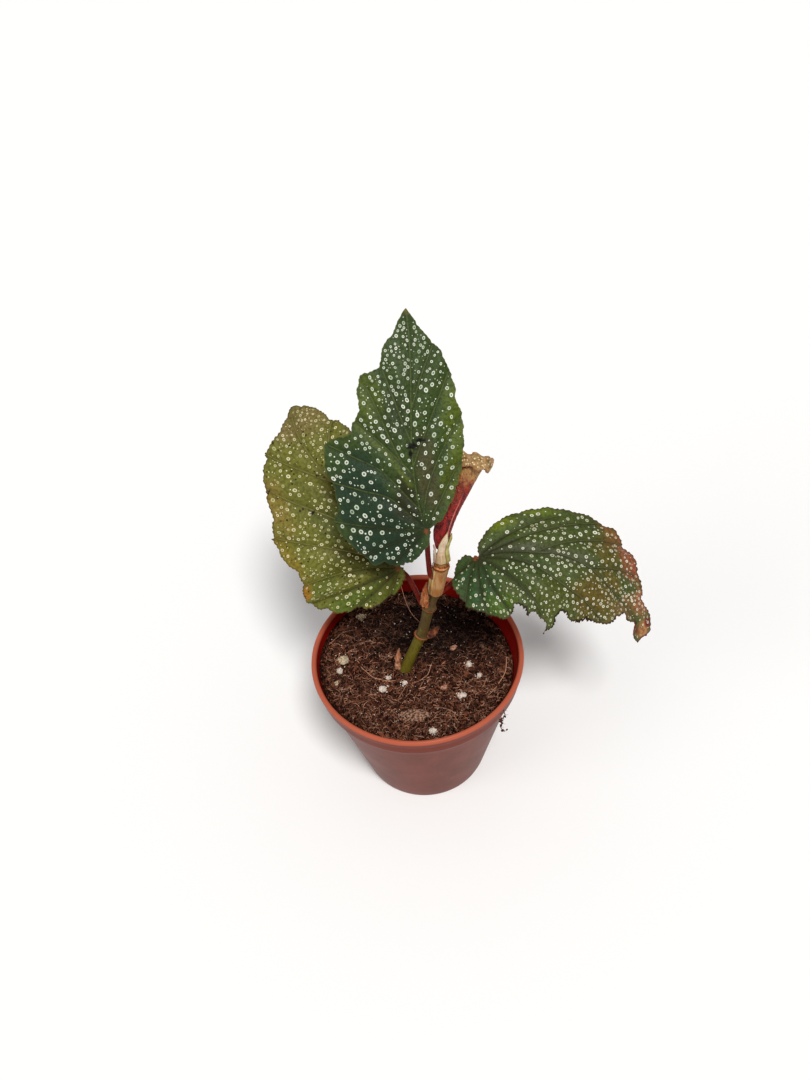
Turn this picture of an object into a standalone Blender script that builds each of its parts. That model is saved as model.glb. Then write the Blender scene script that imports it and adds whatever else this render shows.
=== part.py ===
"""A young angel-wing begonia in a small round nursery pot.

The plant stands in plain soil: one short stem with ringed nodes, three open spotted leaves on thin
stalks, and a new leaf that is still rolled up between pale stipules. Every length below is in
millimetres and is turned into metres where a mesh is made. The origin is the middle of the pot's flat
underside and +Z is up. Leaf A faces -Y.
"""

from math import atan2, ceil, cos, exp, hypot, pi, radians, sin, sqrt

import bmesh
import bpy
from mathutils import Vector, noise
from mathutils.geometry import delaunay_2d_cdt, interpolate_bezier

MM = 0.001
GAP = 0.3

# The pot
POT_HEIGHT = 50.0
RIM_RADIUS = 32.5
LIP_WIDTH = 1.6
LIP_DEPTH = 2.3
LIP_SPREAD = 0.6
BASE_RADIUS = 19.4
BASE_ROUND = 0.6
POT_WALL = 1.0
WALL_TAPER = 0.2537
COLLAR_BOTTOM = 42.4
COLLAR_STEP = 1.3
COLLAR_SLOPE = 1.4
POT_SEGMENTS = 60
DRAIN_HOLES = 6
DRAIN_RADIUS = 2.4
DRAIN_RING = 12.0

# The soil
SOIL_EDGE = 45.0
SOIL_TILT = 2.1
SOIL_HEAP = 1.2
SOIL_BOTTOM = POT_WALL + GAP
SOIL_SPACING = 2.1
SOIL_ROUGHNESS = 0.55
SOIL_RIM_POINTS = 66
LUMP_HEIGHT = 0.75
LUMP_RINGS = (0.0, 0.6, 0.9, 1.15)
LUMP_CLEAR = 1.45

# Lumps on the soil, each with its place, its half length, its half width and its turn in degrees
SOIL_LUMPS = (
    (-22.7, 2.4, 1.9, 1.8, 0),
    (-24.0, -1.6, 1.0, 1.1, 20),
    (-11.4, -9.7, 1.3, 1.2, 0),
    (-9.3, -5.6, 0.8, 0.7, 0),
    (-4.6, -7.8, 0.9, 0.8, 0),
    (15.5, -2.2, 0.9, 1.3, 10),
    (20.5, 5.2, 1.0, 1.3, 30),
    (18.2, -6.6, 0.8, 0.7, 0),
    (12.2, -13.5, 1.6, 1.1, 15),
    (7.1, -10.2, 1.2, 0.8, 0),
    (-2.8, -19.9, 4.8, 2.1, -4),
    (2.5, -25.3, 1.3, 1.0, 0),
    (-16.4, 19.4, 1.8, 1.2, 0),
    (11.5, 4.6, 1.4, 0.9, 35),
    (-0.8, 23.2, 1.5, 1.1, 20),
    (-25.4, -6.2, 0.8, 0.8, 0),
    (16.0, 17.5, 1.5, 1.2, 60),
)

# The stem: each point of its middle line, with its radius there. Nodes are the thick places.
STEM = (
    (-10.2, -4.2, 31.0, 1.7),
    (-7.2, -3.4, 38.5, 1.9),
    (-4.4, -2.6, 45.5, 2.0),
    (-2.6, -2.1, 50.0, 1.75),
    (-0.3, -1.5, 55.5, 1.65),
    (1.3, -1.1, 59.2, 1.75),
    (1.7, -1.0, 60.1, 2.0),
    (2.1, -0.9, 61.1, 1.7),
    (3.5, -0.7, 66.5, 1.6),
    (4.5, -0.5, 71.2, 1.75),
    (4.8, -0.5, 72.4, 2.0),
    (5.3, -0.4, 73.8, 1.65),
    (6.2, -0.3, 76.5, 1.6),
    (6.8, -0.2, 78.0, 1.85),
    (7.3, -0.1, 80.2, 2.05),
    (8.1, 0.0, 84.5, 2.15),
    (9.0, 0.0, 88.6, 2.1),
    (9.2, 0.0, 89.7, 2.35),
    (9.3, 0.3, 90.7, 1.85),
    (9.45, 0.9, 92.9, 1.5),
    (9.6, 1.4, 94.4, 0.9),
)
STEM_SIDES = 11
STEM_RING_STEP = 1.4
STEM_HOLE_DEPTH = 1.5
STEM_HOLE_CLEAR = 0.4

# The leaf stalks, from the stem to just under their blades
STALK_RADIUS = 0.75
STALK_SIDES = 10
STALKS = {
    "petiole_A": ((5.9, -1.4, 88.0), (5.7, -2.0, 94.6), (5.7, -2.6, 101.0), (5.85, -2.75, 107.4)),
    "petiole_B": ((2.75, 0.05, 74.0), (1.2, 2.0, 78.1), (-0.7, 4.4, 81.4), (-3.4, 6.1, 83.2)),
    "petiole_C": ((9.8, 0.0, 79.2), (11.7, 0.2, 80.9), (15.5, 0.9, 84.9), (19.4, 1.6, 88.7)),
}

# The open leaves. The midrib is a Bezier curve from the stalk to the tip, and face is the way the upper
# side looks at places spread evenly along it. The outline, the veins and the bends are in the leaf's own
# flat frame: x is across it, to the right when the tip points up, and y is along the midrib from the
# stalk. A third value of 1 makes an outline point a corner.
BLADE = 0.6
BLADE_SPACING = 2.7
MARGIN_STEP = 1.5
VEIN_WIDTH = 2.2
VEIN_DEPTH = 0.6

LEAF_A = {
    "midrib": ((5.7, -4.0, 108.6), (1.0, 7.5, 124.3), (6.9, 18.5, 141.0), (6.0, 34.5, 153.0)),
    "face": ((-0.10, -0.80, 0.60), (0.0, -0.76, 0.65), (0.02, -0.68, 0.73)),
    "bend": (0.016, 0.020),
    "puff": 0.9,
    "wave": 0.35,
    "teeth": 0.4,
    "outline": (
        (0.2, 60.0, 1), (2.0, 56.6), (5.1, 51.8), (7.5, 49.6), (9.8, 45.3), (11.9, 40.2), (12.5, 35.2),
        (14.1, 31.5), (14.4, 26.0), (13.7, 18.0), (12.2, 12.6), (9.3, 6.5), (5.2, 1.6), (0.9, 0.0, 1),
        (1.1, -1.4), (-0.9, -4.3), (-5.0, -6.7), (-10.2, -7.7), (-14.3, -5.9, 1), (-17.1, -5.3),
        (-19.3, -3.0), (-20.7, -0.5), (-23.3, 3.6), (-25.5, 6.8, 1), (-22.6, 9.5, 1), (-22.5, 11.6),
        (-23.7, 15.2), (-24.3, 19.0), (-24.2, 24.9, 1), (-19.6, 26.2), (-16.3, 27.2, 1), (-15.8, 30.0),
        (-13.7, 33.0, 1), (-14.5, 37.0), (-14.0, 41.2), (-12.9, 42.6), (-8.3, 44.3, 1), (-7.9, 47.4),
        (-7.0, 50.0), (-4.4, 53.5), (-1.4, 58.4),
    ),
    "veins": (
        ((0.0, -0.5), (0.0, 15.0), (0.1, 30.0), (0.1, 59.0)),
        ((0.0, 15.0), (-3.4, 20.0), (-8.6, 32.0), (-12.2, 39.5)),
        ((-1.3, 17.0), (-7.5, 23.5), (-14.6, 29.8)),
        ((0.0, 24.0), (-3.5, 33.0), (-7.4, 43.5)),
        ((0.0, 0.5), (-6.8, 9.6), (-14.8, 12.8), (-23.2, 15.2)),
        ((0.0, 6.0), (-8.0, 16.5), (-16.0, 21.0), (-23.0, 24.0)),
        ((0.0, 0.2), (-13.0, 3.9), (-24.7, 6.8)),
        ((0.0, 0.0), (-11.3, -1.0), (-20.2, -2.1)),
        ((0.0, 0.0), (-6.8, -3.5), (-12.6, -6.6)),
        ((0.2, 18.0), (4.0, 27.0), (8.0, 37.0), (10.4, 43.0)),
        ((0.6, 4.0), (3.5, 12.0), (9.0, 23.0), (13.6, 31.0)),
        ((0.8, 1.0), (6.5, 8.0), (12.6, 17.5)),
        ((0.2, 33.0), (3.0, 42.0), (6.2, 49.5)),
    ),
}

LEAF_B = {
    "midrib": ((-3.3, 5.0, 84.6), (-9.5, 16.0, 98.5), (-29.5, 26.5, 108.0), (-29.7, 46.0, 113.3)),
    "face": ((0.05, -0.62, 0.78), (-0.08, -0.62, 0.78), (-0.15, -0.62, 0.78)),
    "bend": (0.016, 0.016),
    "puff": 1.1,
    "wave": 0.5,
    "teeth": 0.6,
    "outline": (
        (-0.2, 59.2, 1), (1.6, 59.1), (3.3, 57.9, 1), (4.8, 58.2), (8.1, 55.7), (9.8, 53.0), (10.3, 50.4, 1),
        (12.6, 47.4), (13.9, 43.4), (15.0, 36.0), (15.2, 28.0), (14.3, 20.0), (12.2, 12.6), (9.2, 6.5),
        (5.4, 2.4), (1.7, 0.2, 1), (2.2, -1.4), (0.8, -4.2), (-3.2, -7.0), (-8.9, -8.4), (-12.8, -8.1),
        (-14.8, -6.4, 1), (-19.0, -6.2), (-21.9, -5.0), (-23.6, -3.0, 1), (-26.4, -2.2), (-28.0, 0.8),
        (-28.4, 6.8), (-27.6, 12.2), (-25.3, 17.6), (-25.1, 19.6, 1), (-25.9, 23.2), (-25.6, 27.4),
        (-25.1, 31.4, 1), (-20.4, 34.3), (-18.4, 37.8), (-17.4, 41.4), (-14.6, 45.2), (-11.6, 47.6, 1),
        (-11.8, 49.2), (-8.8, 50.2), (-5.0, 52.4), (-2.4, 55.0),
    ),
    "veins": (
        ((0.0, -0.5), (0.0, 16.0), (0.4, 32.0), (-0.2, 58.6)),
        ((0.5, 31.0), (-4.0, 39.0), (-10.7, 48.2)),
        ((0.0, 8.0), (-6.6, 24.0), (-16.6, 42.0)),
        ((0.0, 1.0), (-7.8, 10.5), (-17.0, 22.5), (-24.4, 31.0)),
        ((0.0, 0.2), (-13.0, 7.0), (-27.4, 13.0)),
        ((-0.3, -0.3), (-13.0, -0.2), (-27.0, 0.6)),
        ((-0.4, -0.6), (-8.0, -3.4), (-17.0, -6.0)),
        ((-0.2, -1.0), (-4.0, -5.0), (-7.0, -7.8)),
        ((0.5, 26.0), (5.0, 38.0), (11.2, 49.0)),
        ((0.3, 10.0), (6.0, 22.0), (14.4, 35.0)),
        ((0.3, 2.0), (7.0, 12.0), (14.2, 20.0)),
    ),
}

LEAF_C = {
    "midrib": ((19.5, 1.0, 90.4), (40.0, -1.0, 101.0), (63.0, -6.0, 83.0), (63.6, -14.0, 63.3)),
    "face": ((-0.05, -0.35, 0.94), (0.20, -0.35, 0.90), (0.40, -0.50, 0.75), (0.60, -0.70, 0.40)),
    "bend": (0.022, 0.028),
    "puff": 1.0,
    "wave": 0.45,
    "teeth": 0.6,
    "outline": (
        (-0.4, 0.0, 1), (-3.0, 0.8), (-6.7, 3.5), (-9.8, 7.1), (-11.8, 10.8), (-13.8, 15.7), (-15.6, 20.6),
        (-15.8, 22.8), (-16.0, 25.2), (-17.1, 29.6), (-16.9, 32.4), (-15.7, 34.4, 1), (-16.6, 36.8),
        (-15.4, 40.0), (-14.1, 41.1, 1), (-14.8, 43.0), (-12.6, 46.0), (-10.6, 48.2), (-7.9, 51.5),
        (-6.1, 52.4, 1), (-7.2, 57.0), (-6.9, 61.2), (-5.2, 62.9), (-2.1, 62.8), (0.0, 63.2, 1),
        (1.4, 60.0), (-0.9, 57.6, 1), (2.2, 54.6), (1.8, 52.5, 1), (4.0, 51.3), (6.8, 51.6), (9.8, 48.9),
        (13.3, 42.3), (15.9, 38.8), (15.6, 34.0), (15.3, 30.5, 1), (19.1, 31.1), (22.9, 27.2, 1),
        (20.0, 26.4), (19.3, 23.0), (17.9, 20.0), (19.1, 15.8), (17.0, 13.0), (15.9, 10.4, 1), (18.4, 9.2),
        (19.6, 5.6), (18.6, 0.4), (17.2, -3.2), (14.3, -5.8), (13.8, -7.9), (10.4, -8.5), (6.6, -9.5),
        (2.9, -9.1), (-0.6, -6.2), (-1.9, -3.4), (-0.9, -1.4),
    ),
    "veins": (
        ((0.0, -0.5), (0.2, 7.0), (0.4, 17.0), (-0.7, 24.0), (-0.6, 34.5), (0.2, 45.0), (-1.5, 60.0)),
        ((0.4, 16.8), (-5.1, 25.4), (-12.4, 37.4), (-14.6, 42.0)),
        ((-0.8, 34.0), (-4.5, 39.5), (-9.4, 47.0)),
        ((-0.2, 1.0), (-7.0, 12.5), (-13.2, 22.0)),
        ((0.0, 2.0), (-2.9, 10.4), (-9.0, 21.7), (-15.6, 32.0)),
        ((0.8, 2.4), (3.7, 15.0), (7.4, 26.7), (8.4, 37.0), (8.9, 47.5)),
        ((0.5, 0.6), (6.5, 8.0), (10.6, 13.4), (17.6, 23.0)),
        ((0.6, 0.3), (9.5, 2.4), (18.0, 7.6)),
        ((0.4, 0.0), (9.0, -1.8), (17.6, -2.4)),
        ((0.2, -0.3), (6.0, -4.6), (12.0, -7.8)),
        ((0.0, -0.5), (1.6, -4.8), (2.6, -8.2)),
    ),
}

# The new leaf, rolled round the shoot's middle line. Each pair is the distance along the line and the
# radius of the outside, and the last pairs turn the margin out as a cuff.
SHOOT = ((9.5, 0.0, 89.8), (8.9, 2.9, 105.9), (12.9, 3.6, 105.6), (21.4, 14.2, 118.8))
VIEW_SIDE = (0.0, -0.74, 0.67)
ROLL_PROFILE = (
    (6.2, 1.5), (8.0, 1.95), (10.0, 2.4), (13.0, 2.6), (17.0, 2.7), (21.0, 2.8), (25.0, 3.0),
    (28.5, 3.25), (31.5, 3.65), (33.4, 4.15), (34.5, 4.7), (34.4, 5.2), (33.2, 5.4), (31.4, 5.3),
)
ROLL_RING_STEP = 1.9
ROLL_MIDDLE = 30.0
ROLL_SPREAD = 150.0
CUFF_TILT = 0.7
CUFF_WAVE = 0.45
CUFF_WAVES = 7
ROLL_COLUMNS = 21

# The stipules stand round the shoot, where the stem still fills them: their middle direction and widest
# half angle in degrees, and how far along the shoot they end
STIPULE_START = (1.9, 1.75)
STIPULE_CLEAR = 0.3
STIPULES = {
    "stipule_front": (4.0, 42.0, 10.2),
    "stipule_right": (84.0, 33.0, 9.4),
    "stipule_left": (-74.0, 30.0, 6.6),
}

# Dried scales: base, tip, the way the scale faces, and its width
DRY_SCALES = {
    "dry_stipule": ((3.0, -2.3, 75.2), (3.9, -1.7, 84.4), (-0.5, -0.8, 0.1), 2.6),
    "node_scale": ((4.5, -1.8, 60.3), (7.6, -0.6, 62.6), (0.2, -0.9, 0.5), 3.0),
    "foot_scale": ((-7.2, -2.6, 47.7), (-5.3, -1.7, 56.4), (-0.7, -0.7, 0.0), 2.4),
}

TERRACOTTA = ((0.60, 0.13, 0.05), 0.38)
PEAT = ((0.05, 0.03, 0.022), 0.95)
STEM_GREEN = ((0.16, 0.15, 0.04), 0.45)
STALK_RED = ((0.25, 0.04, 0.03), 0.45)
LEAF_GREEN = ((0.06, 0.11, 0.045), 0.42)
LEAF_OLIVE = ((0.16, 0.17, 0.05), 0.45)
LEAF_DARK = ((0.06, 0.10, 0.05), 0.42)
NEW_CRIMSON = ((0.28, 0.012, 0.02), 0.4)
CREAM = ((0.70, 0.62, 0.38), 0.5)
DRIED = ((0.45, 0.20, 0.08), 0.7)


def clear_scene():
    for obj in list(bpy.data.objects):
        bpy.data.objects.remove(obj)


def material(name, colour, roughness):
    made = bpy.data.materials.new(name)
    made.use_nodes = True
    shader = made.node_tree.nodes["Principled BSDF"]
    shader.inputs["Base Color"].default_value = (*colour, 1.0)
    shader.inputs["Roughness"].default_value = roughness
    return made


def add_object(name, vertices, faces, finish):
    """One closed solid from points in millimetres."""
    mesh = bpy.data.meshes.new(name)
    mesh.from_pydata([Vector(point) * MM for point in vertices], [], faces)
    work = bmesh.new()
    work.from_mesh(mesh)
    bmesh.ops.recalc_face_normals(work, faces=work.faces)
    work.to_mesh(mesh)
    work.free()
    mesh.shade_smooth()
    mesh.set_sharp_from_angle(angle=radians(50))
    if finish:
        mesh.materials.append(finish)
    obj = bpy.data.objects.new(name, mesh)
    bpy.context.collection.objects.link(obj)
    return obj


def cut(target, cutter):
    """Takes the cutter out of the target, and keeps the cutter as a hidden guide."""
    cutter.hide_render = True
    cutter.display_type = "WIRE"
    modifier = target.modifiers.new("cut_" + cutter.name, "BOOLEAN")
    modifier.operation = "DIFFERENCE"
    modifier.object = cutter


# Curves and outlines


def blend(a, b, t):
    return a + (b - a) * t


def smooth_path(points, step):
    """Points about a step apart on a smooth curve through the given ones, of any number of values."""
    rows = [Vector(point) for point in points]
    path = []
    for i in range(len(rows) - 1):
        before = rows[max(i - 1, 0)]
        start, end = rows[i], rows[i + 1]
        after = rows[min(i + 2, len(rows) - 1)]
        pieces = max(1, ceil((end - start).length / step))
        for k in range(pieces):
            t = k / pieces
            bend_in = (end - before) * 0.5
            bend_out = (after - start) * 0.5
            path.append(
                start * (2 * t**3 - 3 * t**2 + 1)
                + bend_in * (t**3 - 2 * t**2 + t)
                + end * (3 * t**2 - 2 * t**3)
                + bend_out * (t**3 - t**2)
            )
    path.append(rows[-1])
    return path


def closed_outline(points, step):
    """A closed outline through the points, smooth except at its corners, which all of its runs end on."""
    first = next(i for i, point in enumerate(points) if len(point) == 3)
    turned = list(points[first:]) + list(points[: first + 1])
    outline = []
    run = [turned[0][:2]]
    for point in turned[1:]:
        run.append(point[:2])
        if len(point) == 3:
            outline.extend(smooth_path(run, step)[:-1])
            run = [point[:2]]
    return outline


def toothed(outline, depth):
    """The outline with every second point drawn in, so that the teeth's tips stay on it."""
    count = len(outline)
    made = []
    for i, point in enumerate(outline):
        along = outline[(i + 1) % count] - outline[i - 1]
        out = Vector((-along.y, along.x)).normalized()
        made.append(point if i % 2 else point - out * depth)
    return made


def inside(point, outline):
    """True where the point lies inside the outline, by the even and odd rule."""
    hit = False
    for a, b in zip(outline, outline[1:] + outline[:1]):
        if (a.y > point.y) != (b.y > point.y):
            if point.x < a.x + (point.y - a.y) * (b.x - a.x) / (b.y - a.y):
                hit = not hit
    return hit


def distance_to(point, line):
    """The shortest distance from a point to a line of points."""
    best = 1e9
    for a, b in zip(line, line[1:]):
        run = b - a
        t = min(max((point - a).dot(run) / run.length_squared, 0.0), 1.0)
        best = min(best, (a + run * t - point).length)
    return best


def triangulate(outline, inner_points, lines):
    """Flat triangles inside an outline, with their edges along the lines."""
    points = list(outline)
    count = len(points)
    edges = [(i, (i + 1) % count) for i in range(count)]
    points.extend(inner_points)
    for line in lines:
        start = len(points)
        points.extend(line)
        edges.extend((start + i, start + i + 1) for i in range(len(line) - 1))
    made = delaunay_2d_cdt(points, edges, [list(range(count))], 1, 0.02)
    return made[0], [tuple(face) for face in made[2]]


def hex_grid(outline, spacing, margin):
    """Points in staggered rows inside the outline, none nearer to it than the margin."""
    loop = outline + outline[:1]
    low_x = min(point.x for point in outline)
    low_y = min(point.y for point in outline)
    columns = ceil((max(point.x for point in outline) - low_x) / spacing) + 1
    row_step = spacing * sqrt(0.75)
    rows = ceil((max(point.y for point in outline) - low_y) / row_step) + 1
    made = []
    for row in range(rows):
        for column in range(columns):
            place = Vector((low_x + (column + 0.5 * (row % 2)) * spacing, low_y + row * row_step))
            if inside(place, outline) and distance_to(place, loop) > margin:
                made.append(place)
    return made


# Solids


def sheet_solid(name, top, bottom, faces, finish):
    """A thin solid between two like sheets of points, split into the same triangles on both."""
    count = len(top)
    sides = {}
    for face in faces:
        for a, b in zip(face, face[1:] + face[:1]):
            if (b, a) in sides:
                del sides[(b, a)]
            else:
                sides[(a, b)] = True
    solid_faces = list(faces)
    solid_faces += [tuple(count + i for i in reversed(face)) for face in faces]
    for a, b in sides:
        solid_faces.append((b, a, a + count))
        solid_faces.append((b, a + count, b + count))
    return add_object(name, list(top) + list(bottom), solid_faces, finish)


def tube_mesh(path, radii, sides):
    """The points and faces of a closed tube along a path."""
    vertices, faces = [], []
    side = None
    for i, point in enumerate(path):
        along = (path[min(i + 1, len(path) - 1)] - path[max(i - 1, 0)]).normalized()
        side = (side or Vector((0.0, -1.0, 0.0))) - along * (side or Vector((0.0, -1.0, 0.0))).dot(along)
        side.normalize()
        other = along.cross(side)
        for k in range(sides):
            turn = 2 * pi * k / sides
            vertices.append(point + (side * cos(turn) + other * sin(turn)) * radii[i])
    for i in range(len(path) - 1):
        for k in range(sides):
            a = i * sides + k
            b = i * sides + (k + 1) % sides
            faces.append((a, b, b + sides, a + sides))
    faces.append(tuple(reversed(range(sides))))
    faces.append(tuple(range(len(vertices) - sides, len(vertices))))
    return vertices, faces


def turned_solid(name, profile, segments, finish):
    """A profile of (radius, height) pairs that starts and ends on the axis, turned about +Z."""
    vertices, rings, faces = [], [], []
    for radius, height in profile:
        if radius == 0:
            rings.append([len(vertices)] * segments)
            vertices.append((0.0, 0.0, height))
            continue
        rings.append([len(vertices) + k for k in range(segments)])
        for k in range(segments):
            turn = 2 * pi * k / segments
            vertices.append((radius * cos(turn), radius * sin(turn), height))
    for lower, upper in zip(rings, rings[1:]):
        for k in range(segments):
            n = (k + 1) % segments
            corners = [lower[k], lower[n], upper[n], upper[k]]
            faces.append(tuple(dict.fromkeys(corners)))
    return add_object(name, vertices, faces, finish)


# The pot and the soil


def inner_radius(height):
    """The radius of the pot's inner wall at a height."""
    return BASE_RADIUS - POT_WALL + WALL_TAPER * height


def make_pot(finish):
    lip_inner = RIM_RADIUS - LIP_WIDTH
    collar_foot = inner_radius(COLLAR_BOTTOM) + POT_WALL
    wall_top = POT_HEIGHT - 2 * LIP_DEPTH + 0.6
    profile = (
        (0.0, 0.0),
        (BASE_RADIUS - BASE_ROUND, 0.0),
        (BASE_RADIUS, BASE_ROUND),
        (collar_foot, COLLAR_BOTTOM),
        (collar_foot + 0.6 * COLLAR_STEP, COLLAR_BOTTOM + 0.4 * COLLAR_SLOPE),
        (collar_foot + COLLAR_STEP, COLLAR_BOTTOM + COLLAR_SLOPE),
        (RIM_RADIUS - LIP_SPREAD, POT_HEIGHT - LIP_DEPTH),
        (RIM_RADIUS - 0.15 * LIP_SPREAD, POT_HEIGHT - 0.75 * LIP_DEPTH),
        (RIM_RADIUS, POT_HEIGHT - 0.45 * LIP_DEPTH),
        (RIM_RADIUS - 0.15 * LIP_WIDTH, POT_HEIGHT - 0.13 * LIP_DEPTH),
        (RIM_RADIUS - 0.5 * LIP_WIDTH, POT_HEIGHT),
        (lip_inner + 0.15 * LIP_WIDTH, POT_HEIGHT - 0.13 * LIP_DEPTH),
        (lip_inner, POT_HEIGHT - 0.5 * LIP_DEPTH),
        (inner_radius(wall_top), wall_top),
        (inner_radius(POT_WALL + BASE_ROUND), POT_WALL + BASE_ROUND),
        (inner_radius(POT_WALL) - BASE_ROUND, POT_WALL),
        (0.0, POT_WALL),
    )
    pot = turned_solid("pot", profile, POT_SEGMENTS, finish)
    vertices, faces = [], []
    for k in range(DRAIN_HOLES):
        turn = 2 * pi * (k + 0.5) / DRAIN_HOLES
        middle = Vector((DRAIN_RING * cos(turn), DRAIN_RING * sin(turn), 0.0))
        path = [middle + Vector((0, 0, -1.0)), middle + Vector((0, 0, POT_WALL + 1.0))]
        drill_vertices, drill_faces = tube_mesh(path, [DRAIN_RADIUS] * 2, 16)
        faces += [tuple(i + len(vertices) for i in face) for face in drill_faces]
        vertices += drill_vertices
    cut(pot, add_object("drain_holes", vertices, faces, None))
    return pot


def soil_level(x):
    """The height that the soil lies at along the wall: it is banked up towards -X."""
    return SOIL_EDGE - SOIL_TILT * x / inner_radius(SOIL_EDGE)


def lump_share(lump, x, y):
    """How far out a place lies from a lump's middle, where 1 is the lump's edge."""
    lump_x, lump_y, length, width, turn = lump
    c, s = cos(radians(turn)), sin(radians(turn))
    u = ((x - lump_x) * c + (y - lump_y) * s) / length
    v = ((y - lump_y) * c - (x - lump_x) * s) / width
    return hypot(u, v)


def soil_height(x, y):
    """The height of the soil's surface: a low heap, crumbs, and the lumps that lie on it."""
    out = hypot(x, y) / inner_radius(SOIL_EDGE)
    height = soil_level(x) + SOIL_HEAP * (1 - out**2)
    height += SOIL_ROUGHNESS * noise.noise(Vector((x * 0.35, y * 0.35, 1.7)))
    height += 0.5 * SOIL_ROUGHNESS * noise.noise(Vector((x * 0.9, y * 0.9, 5.2)))
    for lump in SOIL_LUMPS:
        share = lump_share(lump, x, y)
        if share < 1:
            height += LUMP_HEIGHT * min(lump[2:4]) * sqrt(1 - share**2)
    return height


def lump_points(lump):
    """The places that a lump's shape needs on the soil's grid: its middle and its foot."""
    x, y, length, width, turn = lump
    c, s = cos(radians(turn)), sin(radians(turn))
    made = []
    around = 8 if min(length, width) < 1.5 else 14
    for ring, reach in enumerate(LUMP_RINGS):
        count = around if ring else 1
        for k in range(count):
            a = 2 * pi * (k + 0.5 * ring) / count
            u, v = reach * length * cos(a), reach * width * sin(a)
            made.append(Vector((x + u * c - v * s, y + u * s + v * c)))
    return made


def make_soil(finish):
    rim = []
    for k in range(SOIL_RIM_POINTS):
        turn = 2 * pi * k / SOIL_RIM_POINTS
        radius = inner_radius(SOIL_EDGE - SOIL_TILT * cos(turn)) - GAP
        rim.append(Vector((radius * cos(turn), radius * sin(turn))))
    lumps = [place for lump in SOIL_LUMPS for place in lump_points(lump)]
    grid = [
        place
        for place in hex_grid(rim, SOIL_SPACING, SOIL_SPACING * 0.7)
        if all(lump_share(lump, place.x, place.y) > LUMP_CLEAR for lump in SOIL_LUMPS)
    ]
    flat, faces = triangulate(rim, grid + lumps, [])
    edge = [i for i, place in enumerate(flat) if min((place - point).length for point in rim) < 0.05]
    edge.sort(key=lambda i: atan2(flat[i].y, flat[i].x))
    vertices = []
    for i, place in enumerate(flat):
        height = soil_level(place.x) if i in edge else soil_height(place.x, place.y)
        vertices.append((place.x, place.y, height))
    foot_radius = inner_radius(SOIL_BOTTOM) - 2 * GAP - BASE_ROUND
    foot = []
    for i in edge:
        foot.append(len(vertices))
        place = flat[i].normalized() * foot_radius
        vertices.append((place.x, place.y, SOIL_BOTTOM))
    for k in range(len(edge)):
        n = (k + 1) % len(edge)
        faces.append((edge[k], foot[k], foot[n], edge[n]))
    faces.append(tuple(reversed(foot)))
    return add_object("soil", vertices, faces, finish)


# The stem and the stalks


def make_stem(finish, soil):
    path = smooth_path(STEM, STEM_RING_STEP)
    middle = [Vector(point[:3]) for point in path]
    stem = add_object("stem", *tube_mesh(middle, [p[3] for p in path], STEM_SIDES), finish)
    low = [i for i, point in enumerate(middle) if point.z < POT_HEIGHT + 3]
    buried = [middle[i] for i in low]
    down = (buried[0] - buried[1]).normalized()
    hole = [buried[0] + down * STEM_HOLE_DEPTH] + buried
    widths = [path[0][3] + STEM_HOLE_CLEAR] + [path[i][3] + STEM_HOLE_CLEAR for i in low]
    cut(soil, add_object("stem_hole", *tube_mesh(hole, widths, 2 * STEM_SIDES), None))
    return stem


def make_stalk(name, finish):
    path = smooth_path(STALKS[name], 1.6)
    last = len(path) - 1
    radii = [STALK_RADIUS * blend(1.12, 0.95, i / last) for i in range(last + 1)]
    return add_object(name, *tube_mesh(path, radii, STALK_SIDES), finish)


# The open leaves


class Surface:
    """A leaf's flat frame laid on its curved shape in space."""

    def __init__(self, leaf):
        self.leaf = leaf
        knots = [Vector(point) for point in leaf["midrib"]]
        self.line = interpolate_bezier(*knots, 121)
        self.reach = [0.0]
        for a, b in zip(self.line, self.line[1:]):
            self.reach.append(self.reach[-1] + (b - a).length)
        self.length = self.reach[-1]
        self.veins = [smooth_path(vein, 2.2) for vein in leaf["veins"]]

    def frame(self, y):
        """The midrib's point, its direction, the upper side's direction and the way across, at y."""
        held = min(max(y, 0.0), self.length * 0.9999)
        i = next(k for k in range(1, len(self.reach)) if self.reach[k] > held) - 1
        run = self.line[i + 1] - self.line[i]
        part = (held - self.reach[i]) / (self.reach[i + 1] - self.reach[i])
        along = self.tangent(i + part)
        point = self.line[i] + run * part + along * (y - held)
        faces = [Vector(face) for face in self.leaf["face"]]
        place = held / self.length * (len(faces) - 1)
        first = min(int(place), len(faces) - 2)
        up = blend(faces[first], faces[first + 1], place - first)
        up = (up - along * up.dot(along)).normalized()
        return point, along, up, along.cross(up)

    def tangent(self, place):
        t = place / (len(self.line) - 1)
        a, b, c, d = (Vector(point) for point in self.leaf["midrib"])
        return ((b - a) * (1 - t) ** 2 + (c - b) * 2 * (1 - t) * t + (d - c) * t**2).normalized()

    def relief(self, x, y):
        """How far the blade stands up between its veins, and the slow wave of its margin."""
        place = Vector((x, y))
        nearest = min(distance_to(place, vein) for vein in self.veins)
        lift = 1 - exp(-((nearest / VEIN_WIDTH) ** 2))
        settled = VEIN_DEPTH * min(place.length / 12, 1.0)
        reach = min(abs(x) / 22, 1.0) ** 2
        return self.leaf["puff"] * (lift - settled) + self.leaf["wave"] * reach * sin(0.42 * y + 0.05 * x)

    def point(self, x, y, depth):
        """The place in space of a flat point, on the upper side or a depth below it."""
        middle, _, up, across = self.frame(y)
        bend = self.leaf["bend"][0 if x < 0 else 1]
        sideways = across * (sin(bend * x) / bend) - up * ((1 - cos(bend * x)) / bend)
        normal = up * cos(bend * x) + across * sin(bend * x)
        return middle + sideways + normal * (self.relief(x, y) - depth)


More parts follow.
